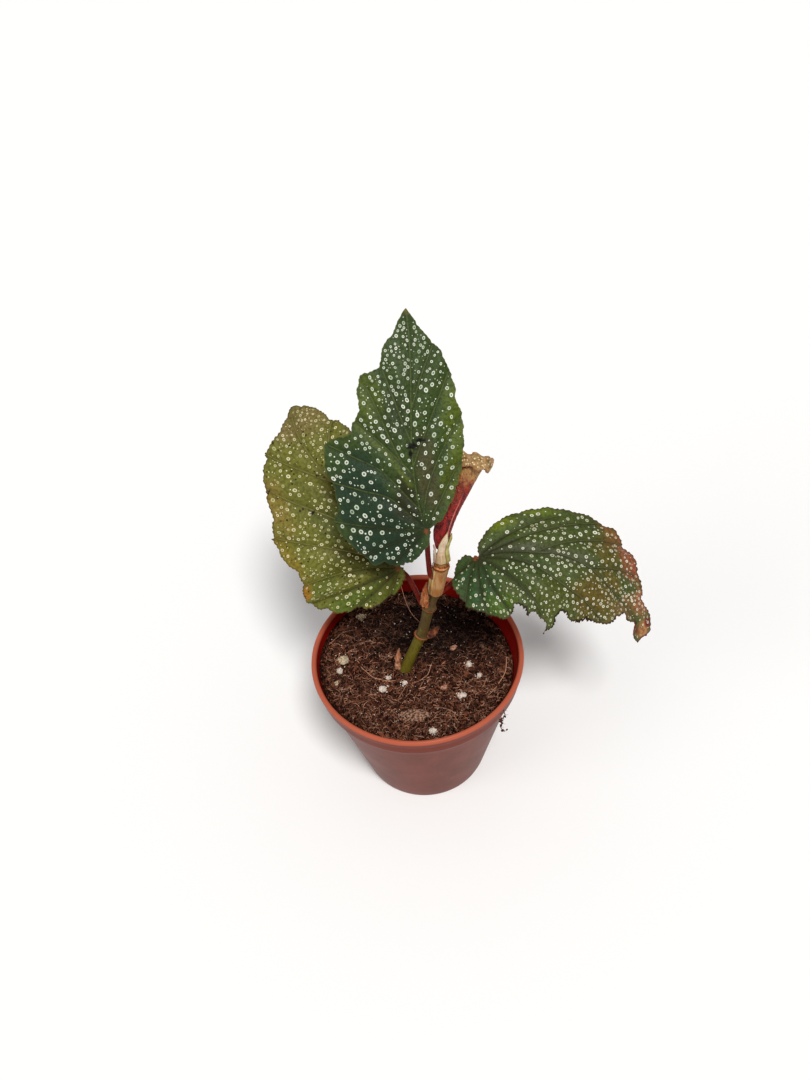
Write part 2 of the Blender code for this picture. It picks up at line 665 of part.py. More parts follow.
def make_leaf(name, leaf, finish):
    surface = Surface(leaf)
    outline = toothed(closed_outline(leaf["outline"], MARGIN_STEP), leaf["teeth"])
    loop = outline + outline[:1]
    veins = [
        [place for place in vein if inside(place, outline) and distance_to(place, loop) > 0.9]
        for vein in surface.veins
    ]
    veins = [vein for vein in veins if len(vein) > 1]
    grid = [
        place
        for place in hex_grid(outline, BLADE_SPACING, 1.3)
        if all(distance_to(place, vein) > 1.2 for vein in veins)
    ]
    flat, faces = triangulate(outline, grid, veins)
    top = [surface.point(place.x, place.y, 0.0) for place in flat]
    bottom = [surface.point(place.x, place.y, BLADE) for place in flat]
    return sheet_solid(name, top, bottom, faces, finish)


# The new leaf and the stipules


def shoot_frame(reach):
    """The shoot's middle line at a distance along it, with its view side and its right side."""
    line = interpolate_bezier(*[Vector(point) for point in SHOOT], 101)
    gone = 0.0
    for a, b in zip(line, line[1:]):
        run = (b - a).length
        if gone + run >= reach or b is line[-1]:
            along = (b - a) / run
            middle = a + along * (reach - gone)
            break
        gone += run
    view = Vector(VIEW_SIDE)
    view = (view - along * view.dot(along)).normalized()
    return middle, along, view, view.cross(along) * -1


def round_point(reach, radius, turn):
    middle, _, view, right = shoot_frame(reach)
    return middle + (view * cos(radians(turn)) + right * sin(radians(turn))) * radius


def grid_faces(rows, columns):
    """Triangles over rows and columns of points, all split the same way."""
    faces = []
    for i in range(rows - 1):
        for k in range(columns - 1):
            a = i * columns + k
            faces.append((a, a + 1, a + columns + 1))
            faces.append((a, a + columns + 1, a + columns))
    return faces


def make_new_leaf(finish):
    profile = smooth_path(ROLL_PROFILE, ROLL_RING_STEP)
    outer, inner = [], []
    for i, point in enumerate(profile):
        along = profile[min(i + 1, len(profile) - 1)] - profile[max(i - 1, 0)]
        along.normalize()
        inward = Vector((along.y, -along.x))
        depth = point + inward * BLADE
        part = i / len(profile)
        for k in range(ROLL_COLUMNS + 1):
            share = 2 * k / ROLL_COLUMNS - 1
            turn = ROLL_MIDDLE + ROLL_SPREAD * share
            rise = CUFF_TILT * part**2 * sin(radians(turn)) + CUFF_WAVE * part**4 * sin(CUFF_WAVES * pi * share)
            outer.append(round_point(point.x + rise, point.y, turn))
            inner.append(round_point(depth.x + rise, depth.y, turn))
    return sheet_solid("leaf_D", outer, inner, grid_faces(len(profile), ROLL_COLUMNS + 1), finish)


def roll_radius(reach):
    """The outer radius of what stands inside the stipules at a distance along the shoot."""
    line = (STIPULE_START,) + ROLL_PROFILE
    for (a, low), (b, high) in zip(line, line[1:]):
        if reach <= b:
            break
    return blend(low, high, (reach - a) / (b - a))


def make_stipule(name, finish):
    """A pointed scale that wraps a part of the shoot, as wide as its half angle at its foot."""
    middle, spread, end = STIPULES[name]
    rows, columns = 9, 7
    outer, inner = [], []
    for i in range(rows):
        part = i / (rows - 1)
        reach = blend(STIPULE_START[0], end, part)
        half = spread * max(1 - part**2.2, 0.12)
        radius = roll_radius(reach) + STIPULE_CLEAR
        for k in range(columns):
            turn = middle + half * (2 * k / (columns - 1) - 1)
            outer.append(round_point(reach, radius + BLADE, turn))
            inner.append(round_point(reach, radius, turn))
    return sheet_solid(name, outer, inner, grid_faces(rows, columns), finish)


def make_dry_scale(name, finish):
    """A small pointed papery scale, hollow on the side that faces away."""
    base, tip, facing, width = DRY_SCALES[name]
    base, tip = Vector(base), Vector(tip)
    along = (tip - base).normalized()
    out = Vector(facing)
    out = (out - along * out.dot(along)).normalized()
    across = along.cross(out)
    rows, columns = 8, 5
    top, bottom = [], []
    for i in range(rows):
        part = i / (rows - 1)
        half = 0.5 * width * (0.55 + 0.9 * part - 1.3 * part**2)
        for k in range(columns):
            side = 2 * k / (columns - 1) - 1
            place = base + (tip - base) * part + across * (half * side)
            place -= out * (0.45 * half * side**2 - 0.5 * sin(pi * part))
            top.append(place)
            bottom.append(place - out * BLADE)
    return sheet_solid(name, top, bottom, grid_faces(rows, columns), finish)


def main():
    clear_scene()
    make_pot(material("terracotta_plastic", *TERRACOTTA))
    soil = make_soil(material("peat", *PEAT))
    make_stem(material("stem_green", *STEM_GREEN), soil)
    stalk_red = material("stalk_red", *STALK_RED)
    for name in STALKS:
        make_stalk(name, stalk_red)
    make_leaf("leaf_A", LEAF_A, material("leaf_green", *LEAF_GREEN))
    make_leaf("leaf_B", LEAF_B, material("leaf_olive", *LEAF_OLIVE))
    make_leaf("leaf_C", LEAF_C, material("leaf_dark", *LEAF_DARK))
    make_new_leaf(material("new_leaf_crimson", *NEW_CRIMSON))
    cream = material("stipule_cream", *CREAM)
    for name in STIPULES:
        make_stipule(name, cream)
    dried = material("dried_brown", *DRIED)
    for name in DRY_SCALES:
        make_dry_scale(name, dried)


main()
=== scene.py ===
# %% [markdown]
# # A potted begonia, dressed for a portrait
# A young angel-wing begonia grows in a small terracotta-coloured nursery pot. Its solids come from a
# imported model, which is the frame of this lesson: each piece made here sits where its solid is, and shows
# what the solid leaves out, such as cream rings on the leaves, sunk veins and the fibres of the soil.
# All sizes below are in millimetres, and they are turned into metres where a mesh is made.

# %% The frame
from math import ceil, cos, pi, radians, sin

import bmesh
import bpy
import numpy as np
from mathutils import Matrix, Vector, noise
from mathutils.geometry import delaunay_2d_cdt


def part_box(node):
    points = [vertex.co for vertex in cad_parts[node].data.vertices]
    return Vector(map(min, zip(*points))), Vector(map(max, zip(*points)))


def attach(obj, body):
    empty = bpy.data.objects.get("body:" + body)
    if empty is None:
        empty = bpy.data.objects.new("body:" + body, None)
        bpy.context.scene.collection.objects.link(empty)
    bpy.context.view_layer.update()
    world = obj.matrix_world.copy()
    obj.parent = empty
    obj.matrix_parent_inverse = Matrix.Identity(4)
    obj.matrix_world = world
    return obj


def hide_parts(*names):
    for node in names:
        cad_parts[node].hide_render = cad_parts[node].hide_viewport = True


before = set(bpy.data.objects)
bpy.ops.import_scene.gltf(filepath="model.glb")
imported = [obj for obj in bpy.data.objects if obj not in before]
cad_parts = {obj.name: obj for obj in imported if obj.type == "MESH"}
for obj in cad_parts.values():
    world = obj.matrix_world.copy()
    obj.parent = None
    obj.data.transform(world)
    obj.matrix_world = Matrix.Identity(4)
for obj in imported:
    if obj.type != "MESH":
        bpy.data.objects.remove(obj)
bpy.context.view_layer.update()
MM = 0.001
print("nodes in the frame:", ", ".join(sorted(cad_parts)))

# %% [markdown]
# ## Curves and draws that every piece shares
# A plant has hardly a straight line. A short list of points with a smooth curve through them is enough for
# a stem, a vein or the edge of a leaf, and it stays easy to read and to change. Where the real thing is
# scattered, as spots and crumbs are, a seeded draw gives the same scatter on each run.

# %% Curves
def blend(a, b, t):
    """The value a share t of the way from a to b."""
    return a + (b - a) * t


def unit(vector):
    """A vector's direction, with a length of 1."""
    return vector / np.linalg.norm(vector)


def units(vectors):
    """The direction of each row of vectors."""
    return vectors / np.linalg.norm(vectors, axis=1)[:, None]


def square_to(vector, along):
    """The direction at right angles to another that is nearest to a vector."""
    return unit(vector - along * vector.dot(along))


def turned(u, v, angle, x=0.0, y=0.0):
    """The flat point u, v turned by an angle in radians, and then moved by x, y."""
    return x + u * cos(angle) - v * sin(angle), y + u * sin(angle) + v * cos(angle)


def curve_point(knots, t):
    """Places on the cubic curve that four knots steer, for t from 0 to 1."""
    a, b, c, d = knots
    return a * (1 - t) ** 3 + b * 3 * (1 - t) ** 2 * t + c * 3 * (1 - t) * t**2 + d * t**3


def hump(value, width):
    """1 at 0, and falling off smoothly on both sides within about a width."""
    return np.exp(-((value / width) ** 2))


def smooth_path(points, step):
    """Points about a step apart on a smooth curve through the given ones, of any number of values."""
    rows = np.array(points, float)
    path = []
    for i in range(len(rows) - 1):
        before, start, end = rows[max(i - 1, 0)], rows[i], rows[i + 1]
        after = rows[min(i + 2, len(rows) - 1)]
        pieces = max(1, ceil(np.linalg.norm(end - start) / step))
        t = np.arange(pieces)[:, None] / pieces
        path.append(
            start * (2 * t**3 - 3 * t**2 + 1)
            + (end - before) * 0.5 * (t**3 - 2 * t**2 + t)
            + end * (3 * t**2 - 2 * t**3)
            + (after - start) * 0.5 * (t**3 - t**2)
        )
    path.append(rows[-1:])
    return np.concatenate(path)


def closed_outline(points, step):
    """A closed outline, smooth except at its corners, which are the points with a third value."""
    first = next(i for i, point in enumerate(points) if len(point) == 3)
    way_round = list(points[first:]) + list(points[: first + 1])
    outline, run = [], [way_round[0][:2]]
    for point in way_round[1:]:
        run.append(point[:2])
        if len(point) == 3:
            outline.append(smooth_path(run, step)[:-1])
            run = [point[:2]]
    return np.concatenate(outline)


def lengths_along(line):
    """How far along a line each of its points lies."""
    return np.concatenate(([0.0], np.cumsum(np.linalg.norm(np.diff(line, axis=0), axis=1))))


def distance_to(places, line):
    """How far each place lies from a line of points."""
    start, run = line[:-1], np.diff(line, axis=0)
    gap = places[:, None] - start[None]
    t = np.clip((gap * run).sum(-1) / (run**2).sum(-1), 0, 1)
    return np.sqrt(((gap - run * t[..., None]) ** 2).sum(-1)).min(1)


def inside(places, outline):
    """True for each place within a closed outline, by the even and odd rule."""
    hit = np.zeros(len(places), bool)
    x, y = places[:, 0], places[:, 1]
    for a, b in zip(outline, np.roll(outline, -1, axis=0)):
        if a[1] == b[1]:
            continue
        crosses = (a[1] > y) != (b[1] > y)
        hit ^= crosses & (x < a[0] + (y - a[1]) * (b[0] - a[0]) / (b[1] - a[1]))
    return hit


def step_between(value, low, high):
    """0 below low, 1 above high, and smooth between them. It falls instead where low is the larger."""
    t = np.clip((np.asarray(value, float) - low) / (high - low), 0, 1)
    return t * t * (3 - 2 * t)


print(f"a bend through three points: {len(smooth_path(((0, 0), (5, 3), (10, 0)), 1.0))} points, 1 mm apart")


# %% Smooth noise
def bump_at(x, y, z):
    """Smooth noise from -1 to 1 at one place."""
    return noise.noise(Vector((x, y, z)))


def bumps_over(x, y, scale, level):
    """Smooth noise for many flat places. A larger scale gives finer bumps."""
    return np.array([bump_at(a * scale, b * scale, level) for a, b in zip(x, y)])


def roughness_at(places, size, seed):
    """Smooth noise from -1 to 1 at each place, with bumps of about the given size."""
    offset = Vector((seed * 7.3, seed * 3.1, seed * 1.7))
    solid = [[*place] if len(place) > 2 else [*place, 0] for place in places]
    return np.array([noise.noise(Vector(place) / size + offset) for place in solid])


print(f"noise at three places: {np.round(roughness_at(((0.2, 0.1), (0.7, 0.4), (1.5, 2.0)), 1.0, 1), 2)}")

# %% [markdown]
# ## From points to a piece
# Every piece here is a mesh made from points and faces. One function turns them into an object, gives it
# its finishes, makes it ride with the pot and hides the solid that it stands for. Numbers that belong to
# a point, such as its distance from the nearest vein, go along as attributes, where a finish can read
# them: that keeps a marking tied to the shape that it belongs to.

# %% Making a piece
PLAN_SIZE = 100.0
pieces = []


def make_piece(name, points, faces, finishes, face_finish=None, values=None, plan=None, sharp=50, slot=None,
               stands_for=(), turn_out=True):
    """A mesh object from points in millimetres, with its finishes and with values for its points."""
    mesh = bpy.data.meshes.new(name)
    places = [tuple(point) for point in np.asarray(points, float) * MM]
    mesh.from_pydata(places, [], [tuple(face) for face in faces])
    for finish in finishes:
        mesh.materials.append(finish.material)
    if face_finish is not None:
        mesh.polygons.foreach_set("material_index", np.array(face_finish, np.int32))
    for key, numbers in (values or {}).items():
        made = mesh.attributes.new(key, "FLOAT", "POINT")
        made.data.foreach_set("value", np.asarray(numbers, np.float32))
    if plan is not None:
        corners = np.zeros(len(mesh.loops), np.int32)
        mesh.loops.foreach_get("vertex_index", corners)
        layer = mesh.uv_layers.new(name="flat")
        flat = np.asarray(plan)[corners] / PLAN_SIZE + 0.5
        layer.data.foreach_set("uv", flat.astype(np.float32).ravel())
    if turn_out:
        work = bmesh.new()
        work.from_mesh(mesh)
        bmesh.ops.recalc_face_normals(work, faces=work.faces)
        work.to_mesh(mesh)
        work.free()
    mesh.shade_smooth()
    mesh.set_sharp_from_angle(angle=radians(sharp))
    piece = bpy.data.objects.new(name, mesh)
    bpy.context.collection.objects.link(piece)
    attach(piece, "root")
    if stands_for:
        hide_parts(*stands_for)
    pieces.append(piece)
    print(f"{name}: {len(mesh.vertices)} points, {len(mesh.polygons)} faces")
    return piece


# %% Tubes and sheets
FRONT = np.array((0.0, -1.0, 0.0))


def tube(path, radii, sides):
    """The points and faces of a closed tube round a path. A radius may vary round each ring."""
    path, radii = np.asarray(path, float), np.asarray(radii, float)
    side, turns = FRONT, 2 * pi * np.arange(sides) / sides
    rings = []
    for i, point in enumerate(path):
        along = unit(path[min(i + 1, len(path) - 1)] - path[max(i - 1, 0)])
        side = square_to(side, along)
        spokes = np.outer(np.cos(turns), side) + np.outer(np.sin(turns), np.cross(along, side))
        radius = radii[i] if radii.ndim > 1 else np.full(sides, radii[i])
        rings.append(point + spokes * radius[:, None])
    last = (len(path) - 1) * sides
    faces = [tuple(reversed(range(sides)))]
    for start in range(0, last, sides):
        for k in range(sides):
            a, b = start + k, start + (k + 1) % sides
            faces.append((a, b, b + sides, a + sides))
    faces.append(tuple(range(last, last + sides)))
    return np.concatenate(rings), faces


def grid_faces(rows, columns):
    """Triangles over rows and columns of points."""
    faces = []
    for i in range(rows - 1):
        for k in range(columns - 1):
            a = i * columns + k
            faces += [(a, a + 1, a + columns + 1), (a, a + columns + 1, a + columns)]
    return faces


def close_sheet(faces, count):
    """Both sides and the rim of a sheet whose under side repeats its points. Finish 0 is on top."""
    rim = {}
    for face in faces:
        for a, b in zip(face, face[1:] + face[:1]):
            if (b, a) in rim:
                del rim[(b, a)]
            else:
                rim[(a, b)] = True
    solid = list(faces) + [tuple(count + i for i in reversed(face)) for face in faces]
    for a, b in rim:
        solid += [(b, a, a + count), (b, a + count, b + count)]
    marks = [0] * len(faces) + [1] * (len(solid) - len(faces))
    return solid, marks


def make_sheet(name, rows, columns, outer, inner, values, finishes, slot, stands_for=(), sharp=50):
    """A thin solid between two grids of points. A second finish goes on its inner side and its rim."""
    solid, marks = close_sheet(grid_faces(rows, columns), len(outer))
    both_sides = {key: numbers * 2 for key, numbers in values.items()}
    face_finish = marks if len(finishes) > 1 else None
    make_piece(name, outer + inner, solid, finishes, face_finish, both_sides, sharp=sharp, slot=slot,
               stands_for=stands_for)


sample_faces = tube(((0, 0, 0), (0, 0, 1), (0, 1, 2)), (1, 1, 1), 8)[1]
print(f"a tube of 3 rings with 8 sides has {len(sample_faces)} faces")

# %% [markdown]
# ## Shader maths as plain expressions
# A finish is a small program made of nodes. Wiring them one by one hides what they work out, so a socket
# is wrapped in a class that knows how to add, multiply and compare, and an expression such as 1 - mask
# adds the Math node by itself. Colours are blended by Mix nodes and places are handled by Vector Math
# nodes, because a Math node would turn them into one grey number.

# %% A wire
class Wire:
    """A node's output, which can stand in an expression."""

    def __init__(self, finish, socket):
        self.finish = finish
        self.socket = socket

    def maths(self, operation, *values):
        return self.finish.node("ShaderNodeMath", {"operation": operation}, values)

    def __add__(self, other):
        return self.maths("ADD", self, other)

    def __sub__(self, other):
        return self.maths("SUBTRACT", self, other)

    def __rsub__(self, other):
        return self.maths("SUBTRACT", other, self)

    def __mul__(self, other):
        return self.maths("MULTIPLY", self, other)

    __radd__ = __add__
    __rmul__ = __mul__


# %% A finish
def paint(red, green, blue):
    """A colour as it looks on a screen, from 0 to 255, turned into the light it stands for."""
    made = []
    for value in (red, green, blue):
        share = value / 255
        made.append(share / 12.92 if share <= 0.04045 else ((share + 0.055) / 1.055) ** 2.4)
    return tuple(made)


print("mid grey on a screen is", round(paint(128, 128, 128)[0], 2), "of the light of white")


class Finish:
    """The material of one kind of surface. How strong its reflections are comes with its name."""

    def __init__(self, name, specular, constants=None):
        self.material = bpy.data.materials.new(name)
        self.material.use_nodes = True
        self.tree = self.material.node_tree
        self.shader = self.tree.nodes["Principled BSDF"]
        for socket, value in {"Specular IOR Level": specular, **(constants or {})}.items():
            self.plug(self.shader.inputs[socket], value)

    def plug(self, socket, value):
        if isinstance(value, Wire):
            self.tree.links.new(value.socket, socket)
        elif isinstance(value, tuple) and socket.type == "RGBA":
            socket.default_value = (*value[:3], 1.0)
        else:
            socket.default_value = value

    def node(self, kind, settings, inputs, output=0):
        """One node of the given type. Its settings come first, then the values or wires of its sockets."""
        made = self.tree.nodes.new(kind)
        for key, value in settings.items():
            setattr(made, key, value)
        named = inputs.items() if isinstance(inputs, dict) else enumerate(inputs)
        for key, value in named:
            self.plug(made.inputs[key], value)
        return Wire(self, made.outputs[output])

    def shade(self, colour, roughness, normal):
        """Feeds the shader what varies over the surface."""
        for key, value in (("Base Color", colour), ("Roughness", roughness), ("Normal", normal)):
            self.plug(self.shader.inputs[key], value)
        return self

    def vector(self, operation, *values, output=0):
        return self.node("ShaderNodeVectorMath", {"operation": operation}, values, output)

    def solid_place(self):
        """Where a point of the surface is, in millimetres."""
        return self.vector("MULTIPLY", self.node("ShaderNodeTexCoord", {}, {}, "Object"), (1 / MM,) * 3)

    def plan_place(self):
        """Where a point is on the flat plan of its leaf, in millimetres."""
        flat = self.node("ShaderNodeUVMap", {"uv_map": "flat"}, {})
        middle = 0.5 * PLAN_SIZE
        return self.vector("SUBTRACT", self.vector("MULTIPLY", flat, (PLAN_SIZE,) * 3), (middle, middle, 0.0))

    def flatten(self, place):
        return self.vector("MULTIPLY", place, (1.0, 1.0, 0.0))

    def height(self, place):
        return self.node("ShaderNodeSeparateXYZ", {}, {0: place}, "Z")

    def attribute(self, name):
        return self.node("ShaderNodeAttribute", {"attribute_name": name}, {}, "Fac")

    def noise(self, place, size, detail=2.0, stretch=None):
        """Cloudy patches of about a size, from 0 to 1, drawn out where the stretch is below 1."""
        if stretch:
            place = self.vector("MULTIPLY", place, stretch)
        return self.node("ShaderNodeTexNoise", {}, {"Vector": place, "Scale": 1 / size, "Detail": detail})

    def step(self, value, low, high):
        """0 at low and 1 at high, smooth between them. It falls where low is the larger."""
        inputs = {"Value": value, "From Min": low, "From Max": high}
        return self.node("ShaderNodeMapRange", {"interpolation_type": "SMOOTHSTEP"}, inputs)

    def mix(self, mask, a, b):
        """Colour a where the mask is 0, colour b where it is 1."""
        return self.node("ShaderNodeMix", {"data_type": "RGBA"}, {0: mask, 6: a, 7: b}, 2)

    def over(self, colour, new, share, value, low, high):
        """A colour with a new one laid over it by a share, where a value goes from low to high."""
        return self.mix(self.step(value, low, high) * share, colour, new)

    def patch(self, place, centre, reach, ragged=None):
        """1 within an oval of the plan, with a ragged edge where a noise is given."""
        away = self.vector("DIVIDE", self.vector("SUBTRACT", place, (*centre, 0.0)), (*reach, 1.0))
        distance = self.vector("LENGTH", away, output=1)
        if ragged:
            distance = distance + (ragged - 0.5) * 1.4
        return self.step(distance, 1.15, 0.35)

    def cells(self, place, size, feature="DISTANCE_TO_EDGE"):
        """Uneven cells of about a size: the distance from their edges, or from their middles with F1."""
        inputs = {"Vector": place, "Scale": 1 / size}
        return self.node("ShaderNodeTexVoronoi", {"feature": feature}, inputs, "Distance")

    def bump(self, height, distance, under=None):
        """A relief of a height in millimetres, over another one where it is given."""
        inputs = {"Height": height, "Distance": distance * MM, "Strength": 1.0}
        if under:
            inputs["Normal"] = under
        return self.node("ShaderNodeBump", {}, inputs)


# %% [markdown]
# ## The camera
# The photograph looks down on the plant at an angle that is worked out from the pot's round rim: a circle
# seen from the side is an ellipse, and its shape gives the angle. The camera is built from its three
# directions, because a small roll is easier to state that way than as Euler angles.

# %% Setting up the camera
RIM_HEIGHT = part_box("pot")[1].z / MM
PHOTO_HEIGHT = 1080
FOCAL_PIXELS = 1258.0
SENSOR = 36.0
CAMERA_PITCH = radians(47.27)
CAMERA_ROLL = radians(-5.7)
CAMERA_DISTANCE = 383.6
CAMERA_RIGHT = -0.2
CAMERA_UP = 34.95


def add_camera():
    """The camera, aimed from the middle of the pot's rim and then moved a little aside and up."""
    forward = Vector((0.0, cos(CAMERA_PITCH), -sin(CAMERA_PITCH)))
    level = Vector((1.0, 0.0, 0.0))
    upright = level.cross(forward)
    right = level * cos(CAMERA_ROLL) + upright * sin(CAMERA_ROLL)
    up = upright * cos(CAMERA_ROLL) - level * sin(CAMERA_ROLL)
    place = Vector((0.0, 0.0, RIM_HEIGHT)) - forward * CAMERA_DISTANCE
    place += level * CAMERA_RIGHT + upright * CAMERA_UP
    camera = bpy.data.objects.new("camera", bpy.data.cameras.new("camera"))
    camera.data.sensor_width = SENSOR
    camera.data.lens = FOCAL_PIXELS / PHOTO_HEIGHT * SENSOR
    camera.data.clip_start = 10 * MM
    camera.matrix_world = Matrix((right, up, -forward)).transposed().to_4x4()
    camera.location = place * MM
    bpy.context.collection.objects.link(camera)
    bpy.context.scene.camera = camera
    print(f"camera {place.length:.0f} mm from the origin, lens {camera.data.lens:.1f} mm")


add_camera()

# %% [markdown]
# ## Floor and light
# A product photograph of a plant is lit from large soft sources, so that the leaves show their colour
# and not hard glints. Here a wide sun high in front is the softbox: it falls on leaves and floor alike,
# so the floor stays evenly pale, and it leaves the soil under the leaves in their shade. A second, weak
# one from the left keeps that side's shapes open, and the pale world fills the shadows. The Standard view
# transform keeps colours as they are painted.

# %% Floor, world and lights
FLOOR_SIZE = 12000.0
FLOOR_PALE = paint(244, 243, 241)
WORLD_STRENGTH = 0.36
SUNS = {
    "key light": ((0.12, -0.48, 0.87), 14, 2.5),
    "left light": ((-0.75, -0.35, 0.55), 30, 0.45),
}


def add_studio():
    """The pale floor, the white world and the two soft suns."""
    half = FLOOR_SIZE / 2
    corners = [(-half, -half, 0.0), (half, -half, 0.0), (half, half, 0.0), (-half, half, 0.0)]
    mesh = bpy.data.meshes.new("floor")
    mesh.from_pydata([Vector(corner) * MM for corner in corners], [], [(0, 1, 2, 3)])
    finish = Finish("pale floor", 0.2, {"Base Color": FLOOR_PALE, "Roughness": 0.8})
    mesh.materials.append(finish.material)
    floor = bpy.data.objects.new("floor", mesh)
    bpy.context.collection.objects.link(floor)
    world = bpy.data.worlds.new("pale studio")
    world.use_nodes = True
    background = world.node_tree.nodes["Background"].inputs
    background["Color"].default_value = (1.0, 1.0, 1.0, 1.0)
    background["Strength"].default_value = WORLD_STRENGTH
    bpy.context.scene.world = world
    bpy.context.scene.view_settings.view_transform = "Standard"
    for name, (towards, width, strength) in SUNS.items():
        light = bpy.data.objects.new(name, bpy.data.lights.new(name, "SUN"))
        light.data.angle = radians(width)
        light.data.energy = strength
        light.rotation_euler = Vector(towards).to_track_quat("Z", "Y").to_euler()
        bpy.context.collection.objects.link(light)
    print(f"{len(SUNS)} soft suns over a floor {FLOOR_SIZE * MM:.0f} m wide")


add_studio()

# %% [markdown]
# ## The pot
# A nursery pot is thin moulded plastic: a tapered wall, a straight collar that lets pots nest, and a
# rolled lip. All of it is round, so its cross-section is drawn once and turned about the axis, with real
# curves at the lip and the collar where light catches. The drain holes are cut by a Boolean, as a drill
# would, and the cut is kept in the mesh.

# %% The pot's measures
BASE_RADIUS = 19.4
BASE_ROUND = 0.6
POT_WALL = 1.0
WALL_TAPER = 0.2537
RIM_RADIUS = 32.5
LIP_WIDTH = 1.6
LIP_DEPTH = 2.3
LIP_SPREAD = 0.6
COLLAR_BOTTOM = 42.4
COLLAR_STEP = 1.3
COLLAR_SLOPE = 1.4
POT_SEGMENTS = 160
DRAIN_HOLES = 6
DRAIN_RADIUS = 2.4
DRAIN_RING = 12.0
DRILL_LENGTH = 4.0
LIP_TOP_ROWS = 3
SEAM_TURNS = (-14.0, 34.0)
SEAM_WIDTH = 0.9
SEAM_RISE = 0.0022


# %% The pot's cross-section
def inner_radius(height):
    """The radius of the pot's inner wall at a height."""
    return BASE_RADIUS - POT_WALL + WALL_TAPER * height


def arc(centre, reach, start, end, steps):
    """Points on a part of an ellipse, its angles in degrees."""
    turns = np.radians(np.linspace(start, end, steps + 1))
    return [(centre[0] + reach[0] * cos(t), centre[1] + reach[1] * sin(t)) for t in turns]


def wall_points(low, high, extra, spacing=3.0):
    """Points up a straight stretch of the wall, a little apart, so that its finish has points to hold."""
    count = ceil(abs(high - low) / spacing)
    heights = np.linspace(low, high, count + 1)
    return [(inner_radius(height) + extra, height) for height in heights]


def pot_profile():
    """The pot's cross-section, from the middle of its underside round the lip to the middle of its floor."""
    foot = inner_radius(COLLAR_BOTTOM) + POT_WALL
    lip_middle = (RIM_RADIUS - 0.5 * LIP_WIDTH, RIM_HEIGHT - 0.45 * LIP_DEPTH)
    inner_top = RIM_HEIGHT - 2 * LIP_DEPTH + 0.6
    ledge = [(foot + 0.1, COLLAR_BOTTOM + 0.12)]
    for out, up in ((0.45, 0.3), (0.8, 0.6), (0.97, 0.85), (1, 1)):
        ledge.append((foot + out * COLLAR_STEP, COLLAR_BOTTOM + up * COLLAR_SLOPE))
    collar = [(foot + COLLAR_STEP + 0.15, COLLAR_BOTTOM + COLLAR_SLOPE + 2.0)]
    under_lip = [
        (RIM_RADIUS - LIP_SPREAD - 0.12, RIM_HEIGHT - LIP_DEPTH - 0.25),
        (RIM_RADIUS - LIP_SPREAD + 0.05, RIM_HEIGHT - LIP_DEPTH),
        (RIM_RADIUS - 0.18, RIM_HEIGHT - LIP_DEPTH + 0.22),
    ]
    return (
        [(0.0, 0.35), (7.0, 0.35), (7.4, 0.0)]
        + arc((BASE_RADIUS - BASE_ROUND, BASE_ROUND), (BASE_ROUND, BASE_ROUND), -90, -14, 5)
        + wall_points(2.0, COLLAR_BOTTOM, POT_WALL)
        + ledge + collar + under_lip
        + arc(lip_middle, (0.5 * LIP_WIDTH, 0.45 * LIP_DEPTH), -12, 192, 18)
        + wall_points(inner_top, POT_WALL + BASE_ROUND, 0.0)
        + [(inner_radius(POT_WALL) - BASE_ROUND, POT_WALL), (0.0, POT_WALL)]
    )


# %% The pot's finish
# The lip's top is lighter than the wall because it faces the light: a painted highlight.
LIT_LIP_CORAL = paint(174, 86, 61)
WALL_ORANGE = paint(110, 38, 17)
# The duller grey-brown and the pale streak colour are painted reflection on the plastic.
WALL_DULL_REFLECTION = paint(84, 44, 32)
# The inside is the same plastic as the outside: its darker red is painted shade inside the pot.
SHADED_INSIDE_RED = paint(124, 12, 5)
PALE_REFLECTION_STREAK = paint(176, 150, 130)
SPECK_BROWN = paint(60, 32, 22)


def plastic_finish(name, low_colour, high_colour, gloss):
    """Terracotta-coloured plastic: brighter on top of the lip as a painted highlight, and duller and a little
    cloudy lower down as a painted reflection.
    """
    finish = Finish(name, 0.12, {"Coat Weight": gloss, "Coat Roughness": 0.25})
    place = finish.solid_place()
    height = finish.height(place)
    cloudy = finish.noise(place, 9, 4)
    streaks = finish.noise(place, 1.1, 3, (1, 1, 0.12))
    # Painted highlight: the top of the lip, which faces the light, is a brighter coral.
    top = finish.step(height, RIM_HEIGHT - 1.5, RIM_HEIGHT - 0.6)
    colour = finish.mix(top, low_colour, high_colour)
    # Painted reflection: below the collar, cloudy patches of duller grey-brown, and faint pale streaks.
    below = finish.step(height, COLLAR_BOTTOM + 0.8, COLLAR_BOTTOM - 4)
    colour = finish.mix(below * finish.step(cloudy, 0.3, 0.75) * 0.5, colour, WALL_DULL_REFLECTION)
    colour = finish.over(colour, PALE_REFLECTION_STREAK, 0.03, streaks, 0.5, 0.8)
    speck = finish.step(finish.cells(place, 2.6, "F1"), 0.085, 0.04)
    rare = finish.step(finish.noise(place, 4), 0.52, 0.6)
    colour = finish.mix(speck * rare * 0.75, colour, SPECK_BROWN)
    grain = finish.noise(place, 0.35, 3)
    relief = finish.bump(grain, 0.012, finish.bump(streaks, 0.03))
    return finish.shade(colour, 0.34 + cloudy * 0.16, relief)


pot_plastic = plastic_finish("pot plastic", WALL_ORANGE, LIT_LIP_CORAL, 0.05)
# The inside's finish is the pot plastic with painted shade: a darker red below the lip.
pot_inside = plastic_finish("pot inside", SHADED_INSIDE_RED, LIT_LIP_CORAL, 0.0)
print(f"two finishes for the pot, of {len(pot_plastic.tree.nodes)} nodes each")


